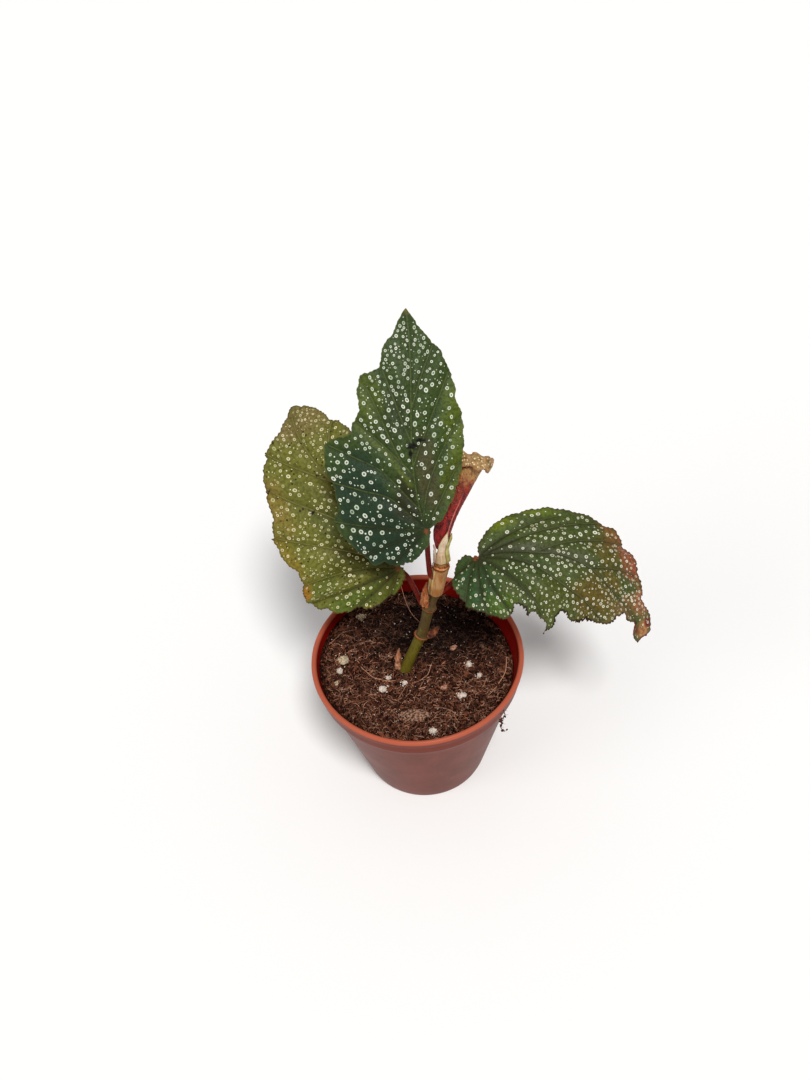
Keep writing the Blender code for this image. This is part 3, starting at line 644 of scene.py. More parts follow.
# %% Turning the pot and cutting its holes
def make_pot():
    """The turned pot with its two faint mould seams and its drain holes."""
    profile = np.array(pot_profile())
    lip_top = int(np.argmax(profile[:, 1]))
    turns = 2 * pi * np.arange(POT_SEGMENTS) / POT_SEGMENTS
    points, faces, marks, rings = [], [], [], []
    for radius, height in profile:
        if radius == 0:
            rings.append([len(points)] * POT_SEGMENTS)
            points.append((0.0, 0.0, height))
            continue
        rings.append([len(points) + k for k in range(POT_SEGMENTS)])
        points += [(radius * cos(t), radius * sin(t), height) for t in turns]
    for i, (lower, upper) in enumerate(zip(rings, rings[1:])):
        for k in range(POT_SEGMENTS):
            n = (k + 1) % POT_SEGMENTS
            faces.append(tuple(dict.fromkeys((lower[k], lower[n], upper[n], upper[k]))))
            marks.append(0 if i <= lip_top + LIP_TOP_ROWS else 1)
    points = np.array(points)
    for seam in SEAM_TURNS:
        gap = np.degrees(np.arctan2(points[:, 1], points[:, 0])) + 90 - seam
        outside = np.hypot(points[:, 0], points[:, 1]) > inner_radius(points[:, 2]) + 0.5 * POT_WALL
        near = hump(gap, SEAM_WIDTH) * outside
        points[:, :2] *= (1 + SEAM_RISE * near * (points[:, 2] > 3))[:, None]
    pot = make_piece("nursery_pot", points, faces, [pot_plastic, pot_inside], marks, sharp=38,
                     slot="pot_plastic", stands_for=["pot"])
    drill_holes(pot)


def drill_holes(pot):
    """Cuts the ring of drain holes, and keeps the result in the pot's own mesh."""
    work = bmesh.new()
    for k in range(DRAIN_HOLES):
        turn = 2 * pi * (k + 0.5) / DRAIN_HOLES
        place = Vector((DRAIN_RING * cos(turn), DRAIN_RING * sin(turn), 0.5)) * MM
        radius = DRAIN_RADIUS * MM
        bmesh.ops.create_cone(work, cap_ends=True, segments=32, radius1=radius, radius2=radius,
                              depth=DRILL_LENGTH * MM, matrix=Matrix.Translation(place))
    drill = bpy.data.objects.new("drill", bpy.data.meshes.new("drill"))
    work.to_mesh(drill.data)
    work.free()
    bpy.context.collection.objects.link(drill)
    cut = pot.modifiers.new("drain holes", "BOOLEAN")
    cut.operation = "DIFFERENCE"
    cut.object = drill
    graph = bpy.context.evaluated_depsgraph_get()
    holed = bpy.data.meshes.new_from_object(pot.evaluated_get(graph))
    pot.modifiers.clear()
    pot.data = holed
    bpy.data.objects.remove(drill)
    print(f"{DRAIN_HOLES} drain holes cut, {len(holed.polygons)} faces")


make_pot()

# %% [markdown]
# ## The soil
# Potting mix is peat: dark crumbs matted with fine fibres, with white perlite and bits of bark in it.
# The ground is a height for each place, from the same formula as its solid, with crumb-sized noise on
# top. Loose crumbs, fibres and lumps then lie on it as real small meshes, because the edge of each one
# casts its own shadow, which a bump map can't do.

# %% The soil's surface
SOIL_EDGE = 45.0
SOIL_TILT = 2.1
SOIL_HEAP = 1.2
SOIL_ROUGHNESS = 0.55
SOIL_SPACING = 0.5
SOIL_SKIRT = 4.0
LUMP_HEIGHT = 0.75
SOIL_LUMPS = (
    ("stone", -22.7, 2.4, 1.9, 1.8, 0), ("perlite", -24, -1.6, 1, 1.1, 20),
    ("perlite", -11.4, -9.7, 1.3, 1.2, 0), ("perlite", -9.3, -5.6, 0.8, 0.7, 0),
    ("perlite", -4.6, -7.8, 0.9, 0.8, 0), ("perlite", 15.5, -2.2, 0.9, 1.3, 10),
    ("clod", 20.5, 5.2, 1, 1.3, 30), ("perlite", 18.2, -6.6, 0.8, 0.7, 0),
    ("perlite", 12.2, -13.5, 1.6, 1.1, 15), ("bark", 7.1, -10.2, 1.2, 0.8, 0),
    ("clod", -2.8, -19.9, 4.8, 2.1, -4), ("perlite", 2.5, -25.3, 1.3, 1, 0),
    ("stone", -16.4, 19.4, 1.8, 1.2, 0), ("bark", 11.5, 4.6, 1.4, 0.9, 35),
    ("clod", -0.8, 23.2, 1.5, 1.1, 20), ("stone", -25.4, -6.2, 0.8, 0.8, 0),
    ("clod", 16, 17.5, 1.5, 1.2, 60),
)


def ground(x, y):
    """The soil's height at places: banked up towards -X, a low heap, and unevenness."""
    x, y = np.asarray(x, float), np.asarray(y, float)
    out = np.hypot(x, y) / inner_radius(SOIL_EDGE)
    height = SOIL_EDGE - SOIL_TILT * x / inner_radius(SOIL_EDGE) + SOIL_HEAP * (1 - out**2)
    uneven = bumps_over(x, y, 0.35, 1.7) + 0.5 * bumps_over(x, y, 0.9, 5.2)
    return height + SOIL_ROUGHNESS * uneven


def ground_at(x, y):
    return float(ground([x], [y])[0])


def crumbly(x, y):
    """The fine crumbs that the soil's surface has on top of its height."""
    return 0.55 * np.abs(bumps_over(x, y, 1.5, 9.0)) + 0.34 * bumps_over(x, y, 2.9, 2.0) - 0.16


print(f"the soil is {ground_at(0, 0):.1f} mm high in its middle")


# %% Finishes of the soil
PEAT_BLACK = paint(9, 4, 3)
PEAT_DARK = paint(20, 8, 5)
PEAT_MID = paint(64, 28, 16)
PEAT_LIGHT = paint(160, 102, 72)
CRUMB_BROWN = paint(128, 74, 50)
FIBRE_BROWN = paint(52, 22, 12)
FIBRE_PALE = paint(224, 164, 130)
PERLITE_GREY = paint(150, 132, 116)
PERLITE_WHITE = paint(240, 226, 212)
STONE_BROWN = paint(92, 72, 46)
STONE_PALE = paint(226, 206, 172)
BARK_DARK = paint(70, 36, 26)
BARK_PALE = paint(206, 152, 124)
CLOD_BROWN = paint(186, 142, 116)
# Where the painted shade of the leaves lies on the soil, as an oval on the plan in millimetres.
SHADE_MIDDLE = (8.0, 13.5)
SHADE_REACH = (33.0, 18.0)


def leaf_shade(finish, place, strength):
    """How far the painted shade of the leaves lies on the soil: behind the stem and under the leaves it turns
    the peat nearly black.
    """
    return finish.patch(place, SHADE_MIDDLE, SHADE_REACH, finish.noise(place, 5, 3)) * strength


def peat_finish():
    """Dark crumbs with paler threads in them, with painted shade that turns them black in the sunk places and
    under the leaves.
    """
    finish = Finish("peat", 0.06)
    place = finish.solid_place()
    crumbs = finish.noise(place, 0.8, 5)
    threads = finish.noise(place, 0.3, 4, (1, 0.4, 1))
    colour = finish.mix(finish.step(crumbs, 0.42, 0.6), PEAT_DARK, PEAT_MID)
    colour = finish.over(colour, PEAT_LIGHT, 0.8, threads, 0.56, 0.66)
    # Painted shade: the sunk places between the crumbs are painted nearly black.
    colour = finish.mix(finish.attribute("sunk") * 0.9, colour, PEAT_BLACK)
    # Painted shade: the soil behind the stem and under the leaves is painted nearly black.
    colour = finish.mix(leaf_shade(finish, finish.flatten(place), 0.92), colour, PEAT_BLACK)
    relief = finish.bump(threads, 0.35, finish.bump(crumbs, 0.5))
    return finish.shade(colour, 0.9 - crumbs * 0.4, relief)


def tone_finish(name, dark, pale, size, depth, roughness=0.85, shade_share=0.0, patchy=0.5):
    """Loose bits whose colour goes from dark to pale with each bit's own tone, and nearly black by a share of
    the leaves' painted shade.
    """
    finish = Finish(name, 0.08)
    place = finish.solid_place()
    grain = finish.noise(place, size, 4)
    colour = finish.mix(finish.attribute("tone") * 0.8 + (grain - 0.5) * patchy + 0.1, dark, pale)
    # Painted shade of the leaves, nearly black, by the share given.
    if shade_share:
        colour = finish.mix(leaf_shade(finish, finish.flatten(place), shade_share), colour, PEAT_BLACK)
    return finish.shade(colour, roughness - grain * 0.25, finish.bump(grain, depth))


peat = peat_finish()
# The crumbs, the fibres and the clods each take a share of the leaves' painted shade.
crumb_finish = tone_finish("peat crumbs", PEAT_DARK, CRUMB_BROWN, 0.4, 0.2, 0.75, 0.88)
fibre_finish = tone_finish("peat fibres", FIBRE_BROWN, FIBRE_PALE, 0.8, 0.03, 0.7, 0.78)
lump_finishes = {
    "perlite": tone_finish("perlite", PERLITE_GREY, PERLITE_WHITE, 0.35, 0.25, patchy=1.4),
    "stone": tone_finish("pale stone", STONE_BROWN, STONE_PALE, 0.4, 0.3, patchy=2.6),
    "bark": tone_finish("bark chip", BARK_DARK, BARK_PALE, 0.5, 0.3, patchy=2.0),
    "clod": tone_finish("brown clod", PEAT_DARK, CLOD_BROWN, 0.5, 0.7, shade_share=0.8, patchy=4.0),
}


# %% The ground
TRIANGLE_HEIGHT = 0.866
EDGE_POINTS = 260


def fill_outline(points, edges, count):
    """Triangles over flat points inside the outline that the first ones make. The given edges are kept."""
    outline = [(i, (i + 1) % count) for i in range(count)]
    flat = [Vector(point) for point in points]
    made = delaunay_2d_cdt(flat, outline + edges, [list(range(count))], 1, 0.01)
    return np.array([v[:] for v in made[0]]), [tuple(face) for face in made[2]]


def make_ground():
    """The soil's rough top, cut to the round of the pot, with a skirt that goes down inside the wall."""
    edge_turns = np.linspace(0, 2 * pi, EDGE_POINTS, endpoint=False)
    edge_radius = inner_radius(SOIL_EDGE - SOIL_TILT * np.cos(edge_turns)) - 0.12
    rim = np.stack((edge_radius * np.cos(edge_turns), edge_radius * np.sin(edge_turns)), 1)
    reach = int(32 / SOIL_SPACING)
    grid = [
        ((column + 0.5 * (row % 2)) * SOIL_SPACING, row * SOIL_SPACING * TRIANGLE_HEIGHT)
        for row in range(-reach - 9, reach + 10)
        for column in range(-reach, reach)
    ]
    grid = np.array(grid)
    grid = grid[np.hypot(grid[:, 0], grid[:, 1]) < edge_radius.min() - 0.5]
    plan, faces = fill_outline(np.concatenate((rim, grid)), [], len(rim))
    heights = ground(plan[:, 0], plan[:, 1])
    fine = crumbly(plan[:, 0], plan[:, 1])
    round_edge = np.hypot(plan[:, 0], plan[:, 1])
    heights += fine * step_between(round_edge, 30, 28.5)
    top = np.column_stack((plan, heights))
    skirt = top.copy()
    skirt[:, :2] *= 0.93
    skirt[:, 2] = heights.min() - SOIL_SKIRT
    solid, _ = close_sheet(faces, len(top))
    # Painted shade for the finish: how far each point lies in a sunk place between the crumbs.
    sunk = step_between(fine, 0.02, -0.22)
    make_piece("potting_soil", np.concatenate((top, skirt)), solid, [peat], sharp=70, slot="soil",
               values={"sunk": np.concatenate((sunk, sunk))}, stands_for=["soil"])


make_ground()


# %% Lumps and crumbs
PERLITE_GRAINS = 240
GRAIN_REACH = 28.5
CRUMB_REACH = 29.3


def blob(centre, reach, turn, seed, detail, ragged):
    """The points and faces of one uneven rounded bit."""
    work = bmesh.new()
    bmesh.ops.create_icosphere(work, subdivisions=detail, radius=1.0)
    points = np.array([v.co[:] for v in work.verts])
    faces = [tuple(v.index for v in face.verts) for face in work.faces]
    work.free()
    bumps = roughness_at(points, 0.9, seed) + 0.5 * roughness_at(points, 0.35, seed + 1)
    points = points * (1 + ragged * bumps)[:, None] * np.array(reach)
    c, s = cos(turn), sin(turn)
    return points @ np.array(((c, s, 0), (-s, c, 0), (0, 0, 1))) + np.array(centre), faces


def make_loose(name, shells, finish, sharp=50):
    """One piece from many small closed shells, each with a tone for its points."""
    points, faces, tones, start = [], [], [], 0
    for shell_points, shell_faces, tone in shells:
        points.append(shell_points)
        faces += [tuple(start + i for i in face) for face in shell_faces]
        tones.append(np.full(len(shell_points), tone))
        start += len(shell_points)
    values = {"tone": np.concatenate(tones)}
    make_piece(name, np.concatenate(points), faces, [finish], values=values, sharp=sharp, slot="soil",
               turn_out=False)


def make_lumps():
    """Each lump with the crust of small bits on it, and tiny loose grains of perlite over all the soil."""
    draw = np.random.default_rng(11)
    for kind, finish in lump_finishes.items():
        shells = []
        for i, lump in enumerate(SOIL_LUMPS):
            if lump[0] != kind:
                continue
            _, x, y, length, width, turn = lump
            tall = 0.85 * LUMP_HEIGHT * min(length, width) + 0.35
            level = ground_at(x, y)
            share = 0.8 if kind == "clod" else 0.9
            reach = (length * share, width * share, tall * share)
            shells.append((*blob((x, y, level), reach, radians(turn), i + 3, 4, 0.13), 0.6))
            crusty = {"clod": int(26 * length * width), "bark": 6}.get(kind, 26)
            for k in range(crusty + (6 if kind in ("perlite", "stone") else 0)):
                a, far = draw.uniform(0, 2 * pi), np.sqrt(draw.uniform(0.1, 1.0))
                if k >= crusty:
                    far = draw.uniform(1.1, 1.7)
                bit_x, bit_y = turned(far * length * cos(a), far * width * sin(a), radians(turn), x, y)
                size = draw.uniform(0.14, 0.42) * (1.0 if kind == "clod" else 0.7)
                high = ground_at(bit_x, bit_y) + 0.2
                high = max(high, level + tall * np.sqrt(max(0.0, 1 - far**2)) - 0.1)
                bit = blob((bit_x, bit_y, high), (size, size, size * 0.8), a, i + k, 1, 0.25)
                shells.append((*bit, draw.uniform(0.1, 1.1)))
        for k in range(PERLITE_GRAINS if kind == "perlite" else 0):
            a, far = draw.uniform(0, 2 * pi), GRAIN_REACH * np.sqrt(draw.random())
            size = draw.uniform(0.09, 0.2)
            x, y = far * cos(a), far * sin(a)
            place = (x, y, ground_at(x, y) + 0.35)
            shells.append((*blob(place, (size, size, size), a, k, 1, 0.2), draw.uniform(-0.2, 0.9)))
        make_loose(f"soil_{kind}", shells, finish)


def make_crumbs(count):
    """Small dark bits of peat, drawn evenly over the round of the soil, with a few pale grains."""
    draw = np.random.default_rng(23)
    far = CRUMB_REACH * np.sqrt(draw.uniform(0, 1, count))
    a = draw.uniform(0, 2 * pi, count)
    x, y = far * np.cos(a), far * np.sin(a)
    level = ground(x, y)
    shells = []
    for i in range(count):
        size = draw.uniform(0.13, 0.46) * (1.6 if draw.random() < 0.12 else 1.0)
        reach = (size * draw.uniform(0.8, 1.8), size, size * draw.uniform(0.6, 0.9))
        place = (x[i], y[i], level[i] + 0.3 * size)
        tone = draw.uniform(0, 0.9) ** 1.6 if size > 0.2 else draw.uniform(0.3, 1.5)
        shells.append((*blob(place, reach, a[i] * 5, i, 1, 0.3), tone))
    make_loose("peat_crumbs", shells, crumb_finish, 30)


make_lumps()
make_crumbs(2400)

# %% Fibres and roots
ROOTS = (
    (((-2.6, 1.6, 80.4), (-1.9, 0.6, 75.6), (-0.4, -0.4, 70), (1.9, -0.6, 65.6)), 0.06),
    (((-17.5, -0.6, 46.9), (-14.5, -4.6, 47.3), (-10.5, -6.6, 47.1), (-6.6, -6.9, 46.7)), 0.09),
    (((4.4, -0.6, 46.9), (3, -4.6, 47.4), (0.8, -7.2, 47.2), (-1.7, -8.3, 46.5)), 0.1),
    (((-4.1, -8.6, 46.8), (-5.6, -11.4, 46.9), (-7.2, -13.8, 46.4)), 0.07),
    (((27.4, 0.5, 44.9), (26.2, -5.6, 45.2), (22.6, -11.2, 45.5), (19.9, -14, 45.3)), 0.13),
    (((-27, 9, 47.4), (-23, 12.6, 47.6), (-18, 14.4, 47.4)), 0.06),
    (((-10, 7.5, 47.6), (-15.2, 8.6, 48), (-21, 7.2, 47.7)), 0.05),
    (((10.4, -20.6, 45.9), (7.2, -18.2, 46.4), (3.4, -17.6, 46.4)), 0.06),
)
FIBRE_REACH = 28.8
FIBRE_STEP = 0.42
HANGING = 55


def fibre_shell(path, radius, tone, sides=4):
    """A thread that gets thinner towards its end."""
    return *tube(path, radius * (1 - 0.55 * np.linspace(0, 1, len(path)) ** 2), sides), tone


def make_fibres(count):
    """Fine curved fibres that lie on the soil, and the few longer roots among them."""
    draw = np.random.default_rng(37)
    shells = []
    for _ in range(count):
        far, a = FIBRE_REACH * np.sqrt(draw.random()), draw.uniform(0, 2 * pi)
        x, y = far * cos(a), far * sin(a)
        heading, bend = draw.uniform(0, 2 * pi), draw.normal(0, 0.35)
        places = []
        for _ in range(int(draw.integers(4, 9))):
            places.append((x, y))
            x += FIBRE_STEP * cos(heading)
            y += FIBRE_STEP * sin(heading)
            heading += bend + draw.normal(0, 0.25)
        places = np.array([place for place in places if np.hypot(*place) < CRUMB_REACH])
        if len(places) < 3:
            continue
        lift = 0.18 + draw.uniform(0.05, 0.4) * np.sin(np.linspace(0, pi, len(places)))
        path = np.column_stack((places, ground(places[:, 0], places[:, 1]) + lift))
        shells.append(fibre_shell(path, draw.uniform(0.026, 0.055), draw.uniform(0, 1.1) ** 2.6, 3))
    for points, radius in ROOTS:
        path = smooth_path(points, 0.7)
        if path[0, 2] < HANGING:
            level = ground(path[:, 0], path[:, 1])
            path[:, 2] = level + 0.28 + 0.25 * np.sin(np.linspace(0, pi, len(path)))
        shells.append(fibre_shell(path, radius, 0.8, 6))
    make_loose("peat_fibres", shells, fibre_finish)


make_fibres(3800)

# %% [markdown]
# ## The stem
# The stem is a soft green cane with a ring at each node, where a leaf has been or still is. It is one
# tube whose radius follows the middle line, with the rings raised on it and fine ridges along it. The
# finish reads how far along the stem it is, so each length between two rings has its own colour: green at
# the foot, brownish above, and tan where the dried sheath still wraps it.

# %% The stem's shape
STEM = (
    (-10.2, -4.2, 31, 1.7), (-7.2, -3.4, 38.5, 1.9), (-4.4, -2.6, 45.5, 2), (-2.6, -2.1, 50, 1.75),
    (-0.3, -1.5, 55.5, 1.65), (1.3, -1.1, 59.2, 1.75), (1.7, -1, 60.1, 2), (2.1, -0.9, 61.1, 1.7),
    (3.5, -0.7, 66.5, 1.6), (4.5, -0.5, 71.2, 1.75), (4.8, -0.5, 72.4, 2), (5.3, -0.4, 73.8, 1.65),
    (6.2, -0.3, 76.5, 1.6), (6.8, -0.2, 78, 1.85), (7.3, -0.1, 80.2, 2.05), (8.1, 0, 84.5, 2.15),
    (9, 0, 88.6, 2.1), (9.2, 0, 89.7, 2.2), (9.3, 0.3, 90.7, 1.85), (9.45, 0.9, 92.9, 1.5),
    (9.6, 1.4, 94.4, 0.9),
)
NODE_HEIGHTS = {"first": 60.1, "second": 72.4, "third": 78.6, "fourth": 89.7}
STEM_STEP = 0.3
STEM_SIDES = 40
STEM_SHARE = 0.97
STEM_RIDGES = 9


def stem_shape():
    """The stem's middle line and its radius all round each ring, with its nodes' raised torn rings."""
    path = smooth_path(STEM, STEM_STEP)
    middle = path[:, :3]
    turns = 2 * pi * np.arange(STEM_SIDES) / STEM_SIDES
    radii = np.repeat(path[:, 3:], STEM_SIDES, axis=1) * STEM_SHARE
    along = lengths_along(middle)
    radii += 0.025 * np.cos(STEM_RIDGES * turns + 0.12 * along[:, None])
    for i, height in enumerate(NODE_HEIGHTS.values()):
        at = np.interp(height, middle[:, 2], along)
        wander = 0.3 * np.sin(turns + 2 * i) + 0.12 * np.sin(5 * turns + i)
        ridge = hump(along[:, None] - at - wander, 0.2)
        radii += ridge * (0.1 + 0.07 * np.sin(3 * turns + i))
    return middle, along, radii


stem_middle, stem_along, stem_radii = stem_shape()
node_reach = {key: float(np.interp(z, stem_middle[:, 2], stem_along)) for key, z in NODE_HEIGHTS.items()}
soil_reach = float(np.interp(46.0, stem_middle[:, 2], stem_along))
print("nodes along the stem:", {key: round(value, 1) for key, value in node_reach.items()})

# %% The stem's finish
STEM_FOOT = paint(98, 88, 22)
STEM_MIDDLE = paint(78, 62, 28)
STEM_UPPER = paint(78, 58, 26)
STEM_STREAK = paint(52, 36, 14)
STEM_OLIVE = paint(140, 132, 52)
SHEATH_TAN = paint(152, 98, 50)
SHEATH_DARK = paint(98, 56, 26)
RING_ORANGE = paint(196, 112, 56)
RING_BROWN = paint(166, 104, 62)
RING_DULL = paint(128, 88, 46)
RING_YELLOW = paint(166, 128, 62)
RING_COLOURS = {"first": RING_BROWN, "second": RING_DULL, "third": RING_YELLOW, "fourth": SHEATH_DARK}


def stem_finish():
    """One colour for each length between two nodes, with streaks, rings and dirt at the foot."""
    finish = Finish("stem skin", 0.25, {"Coat Weight": 0.05, "Coat Roughness": 0.25})
    place = finish.solid_place()
    reach = finish.attribute("reach_mm")
    streaks = finish.noise(place, 0.5, 4, (1, 1, 0.1))
    cloudy = finish.noise(place, 2.5, 3)
    first, second, third = (node_reach[key] for key in ("first", "second", "third"))
    colour = finish.mix(finish.step(reach, first - 0.6, first + 0.4), STEM_FOOT, STEM_MIDDLE)
    colour = finish.mix(finish.step(reach, second, second + 1), colour, STEM_UPPER)
    sheath = finish.mix(finish.step(streaks, 0.42, 0.66), SHEATH_TAN, SHEATH_DARK)
    colour = finish.mix(finish.step(reach, third, third + 0.8), colour, sheath)
    colour = finish.over(colour, STEM_STREAK, 0.55, streaks, 0.5, 0.7)
    colour = finish.over(colour, STEM_OLIVE, 0.25, cloudy, 0.5, 0.8)
    for key, ring in RING_COLOURS.items():
        away = reach - node_reach[key]
        band = finish.step(away * away, 0.12, 0.02) * (0.65 + cloudy * 0.6)
        colour = finish.mix(band, colour, ring)
    dirt = finish.step(reach, soil_reach + 2.2, soil_reach - 0.5) * finish.step(cloudy, 0.35, 0.6)
    colour = finish.mix(dirt * 0.8, colour, PEAT_DARK)
    return finish.shade(colour, 0.34 + streaks * 0.25, finish.bump(streaks, 0.05))


make_piece("ringed_stem", *tube(stem_middle, stem_radii, STEM_SIDES), [stem_finish()],
           values={"reach_mm": np.repeat(stem_along, STEM_SIDES)}, slot="stem", stands_for=["stem"])

# %% [markdown]
# ## Papery remains on the stem
# Begonias drop the two small scales that covered each bud, and what stays behind is a torn brown cuff.
# Each one here is a thin sheet wrapped round part of the stem, with a ragged free edge that stands away
# from it. A sheet that follows the stem's own rings can't drift away from it.

# %% Papery finishes
SCALE_BROWN = paint(156, 86, 44)
SCALE_PALE = paint(196, 136, 86)
SCALE_DARK = paint(72, 36, 22)
SHEATH_CLEAR = paint(206, 176, 126)


def papery_finish(name, body, pale, dark, through, patchy, streaky):
    """Dry plant skin that lets some light through: pale patches, dark streaks and dark edges."""
    finish = Finish(name, 0.2, {"Subsurface Weight": through, "Subsurface Scale": MM})
    place = finish.solid_place()
    streaks = finish.noise(place, 0.6, 4, (1, 1, 0.1))
    cloudy = finish.noise(place, 1.8, 3, (1, 1, 0.5))
    colour = finish.over(body, pale, patchy, cloudy, 0.35, 0.7)
    colour = finish.over(colour, dark, streaky, streaks, 0.5, 0.72)
    colour = finish.over(colour, dark, 0.6, finish.attribute("edge_mm"), 0.28, 0.02)
    return finish.shade(colour, 0.45 + streaks * 0.3, finish.bump(streaks, 0.05))


PAPERS = {
    "papery scale": (SCALE_BROWN, SCALE_PALE, SCALE_DARK, 0, 0.4, 0.85),
    "crumpled scale": (paint(72, 34, 20), paint(172, 98, 60), paint(24, 10, 7), 0, 0.7, 0.8),
    "foot scale": (paint(184, 122, 86), paint(226, 170, 138), paint(92, 48, 28), 0, 0.6, 0.7),
    "dried sheath": (SHEATH_TAN, SHEATH_CLEAR, SHEATH_DARK, 0.15, 0.4, 0.4),
    "pale sheath": (SHEATH_CLEAR, paint(206, 186, 110), SHEATH_TAN, 0.15, 1, 0.7),
    "orange paper": (RING_ORANGE, paint(226, 160, 104), SCALE_BROWN, 0, 1, 0.7),
}
papers = {name: papery_finish(name, *look) for name, look in PAPERS.items()}
print("papery finishes:", ", ".join(papers))


# %% Wrapping torn sheets round the stem
WRAP_ROW = 0.18
WRAP_COLUMNS = 34


def stem_point(reach):
    """The place on the stem's middle line at a distance along it."""
    return np.array([np.interp(reach, stem_along, stem_middle[:, j]) for j in range(3)])


def wrap_round_stem(name, bottom, top, turn_range, flare, tear, seed, paper, slot, thickness):
    """A torn sheet round part of the stem, between two places along it. Its upper edge is ragged."""
    middle_turn, half_turn = (radians(value) for value in turn_range)
    rows = max(8, int((top - bottom) / WRAP_ROW))
    across = np.linspace(-1, 1, WRAP_COLUMNS)
    ragged = [bump_at(a * 4, seed * 3.3, 0) + 0.6 * bump_at(a * 14, seed * 1.3, 4) for a in across]
    ragged = np.array(ragged)
    turns = middle_turn + half_turn * across
    outer, inner, edge = [], [], []
    for i in range(rows):
        share = i / (rows - 1)
        reach = blend(bottom, top + tear * ragged, share)
        lift = 0.1 + flare * share**2 * (1 + 0.8 * ragged) + 0.04 * np.sin(6 * turns + seed)
        for k, turn in enumerate(turns):
            centre = stem_point(reach[k])
            radius = float(np.interp(reach[k], stem_along, stem_radii.mean(1)))
            ahead = unit(stem_point(reach[k] + 0.5) - centre)
            front = square_to(FRONT, ahead)
            out = front * cos(turn) + np.cross(ahead, front) * -sin(turn)
            outer.append(centre + out * (radius + lift[k] + thickness))
            inner.append(centre + out * (radius + lift[k]))
            edge.append(min((1 - share) * (top - bottom), (1 - abs(across[k])) * radius * half_turn))
    make_sheet(name, rows, WRAP_COLUMNS, outer, inner, {"edge_mm": edge}, [papers[paper]], slot)


# Each sheet's gaps to the nodes below and above it, its middle and half width in degrees, how far it
# flares, how torn it is, its seed and its finish. A torn ring's row adds its slot and thickness.
third, fourth = node_reach["third"], node_reach["fourth"]
for name, gap, turns, flare, torn, seed, paper in (
    ("sheath_front", (0.2, 0.3), (-12, 120), 0.12, 0.5, 2, "dried sheath"),
    ("sheath_stripe", (0.8, 0.8), (72, 34), 0.35, 0.6, 5, "pale sheath"),
):
    wrap_round_stem(name, third + gap[0], fourth - gap[1], turns, flare, torn, seed, paper, "stem", 0.16)
TORN_RINGS = {
    "fourth": ((20, 150), 0.15, 0.4, 8, "orange paper", "dried_scale", 0.12),
    "first": ((30, 160), 0.2, 0.3, 11, "papery scale", "dried_scale", 0.1),
    "second": ((10, 150), 0.15, 0.3, 14, "papery scale", "dried_scale", 0.1),
}
for key, ring in TORN_RINGS.items():
    wrap_round_stem(f"torn_ring_{key}", node_reach[key] - 0.2, node_reach[key] + 0.2, *ring)

# %% [markdown]
# ## Dried scales
# Three larger brown scales stand on the stem: a pinkish one at its foot, a crumpled one at the first node
# and one at the second, beside a stalk. A plain leaf shape would look fresh, so each is a small sheet that
# is hollow across and curled along, with a jagged margin.

# %% Making the dried scales
DRY_SCALES = {
    "dry_stipule": ((3.2, -2, 74.4), (4.6, -1.5, 84.4), (-0.5, -0.8, 0.1), 3.1, 0.5, "papery scale"),
    "node_scale": ((3.6, -1.6, 59.6), (7.4, -0.8, 62.9), (0.2, -0.9, 0.5), 3.4, 0.6, "crumpled scale"),
    "foot_scale": ((-6.6, -2.6, 46.6), (-5.3, -1.7, 55.8), (-0.7, -0.7, 0), 2.8, 0.4, "foot scale"),
}
SCALE_THICKNESS = 0.22
SCALE_GRID = (40, 25)


def make_dry_scale(node, seed):
    """A dried scale from its base to its tip. Facing is where its hollow side looks."""
    base, tip, facing = (np.array(value) for value in DRY_SCALES[node][:3])
    width, crumpled, paper = DRY_SCALES[node][3:]
    length = np.linalg.norm(tip - base)
    along = (tip - base) / length
    out = square_to(facing, along)
    across = np.cross(along, out)
    rows, columns = SCALE_GRID
    top, under, edge = [], [], []
    for i in range(rows):
        part = i / (rows - 1)
        jag = 0.14 * bump_at(part * 16, seed, 0.0) + 0.12 * bump_at(part * 44, seed, 3.0)
        half = 0.5 * width * max(0.85 + 0.35 * part - 1.12 * part**2, 0.06) * (1 + (1 + crumpled) * jag)
        for k in range(columns):
            side = 2 * k / (columns - 1) - 1
            crumple = (0.15 + crumpled) * bump_at(part * 5, side * 2.2, seed * 2.0)
            crumple += (0.05 + 0.6 * crumpled) * bump_at(part * 12, side * 5, seed)
            place = base + (tip - base) * part + across * (half * side)
            place = place - out * (0.45 * half * side**2 - 0.5 * sin(pi * part) - crumple)
            top.append(place)
            under.append(place - out * SCALE_THICKNESS)
            edge.append(min(half * (1 - abs(side)), length * (1 - part)))
    make_sheet(f"papery_{node}", rows, columns, top, under, {"edge_mm": edge}, [papers[paper]],
               "dried_scale", [node])


for seed, node in enumerate(DRY_SCALES):
    make_dry_scale(node, seed + 1)

# %% [markdown]
# ## The leaf stalks
# Each stalk leaves the stem at a node and ends under its blade, where the veins meet. It is a tube, a
# little thicker at both ends, that reaches into the stem and up to the blade, so that the plant reads as
# grown and not as put together. The streaks of dark red along it come from its finish.

# %% Making the stalks
STALKS = {
    "A": ((6.9, -0.6, 85.4), (5.9, -1.4, 88), (5.7, -2, 94.6), (5.7, -2.6, 101), (5.8, -2.9, 107.9)),
    "B": ((4.6, -0.3, 72.4), (2.75, 0.05, 74), (1.2, 2, 78.1), (-0.7, 4.4, 81.4), (-3.2, 5.6, 83.9)),
    "C": ((7.6, -0.1, 77.4), (9.8, 0, 79.2), (11.7, 0.2, 80.9), (15.5, 0.9, 84.9), (19.5, 1.2, 89.6)),
}
STALK_RADIUS = 0.75
STALK_SIDES = 24
STALK_RED = paint(104, 26, 13)
STALK_DARK = paint(60, 9, 6)
STALK_PALE = paint(150, 74, 46)
STALK_END = paint(150, 88, 54)


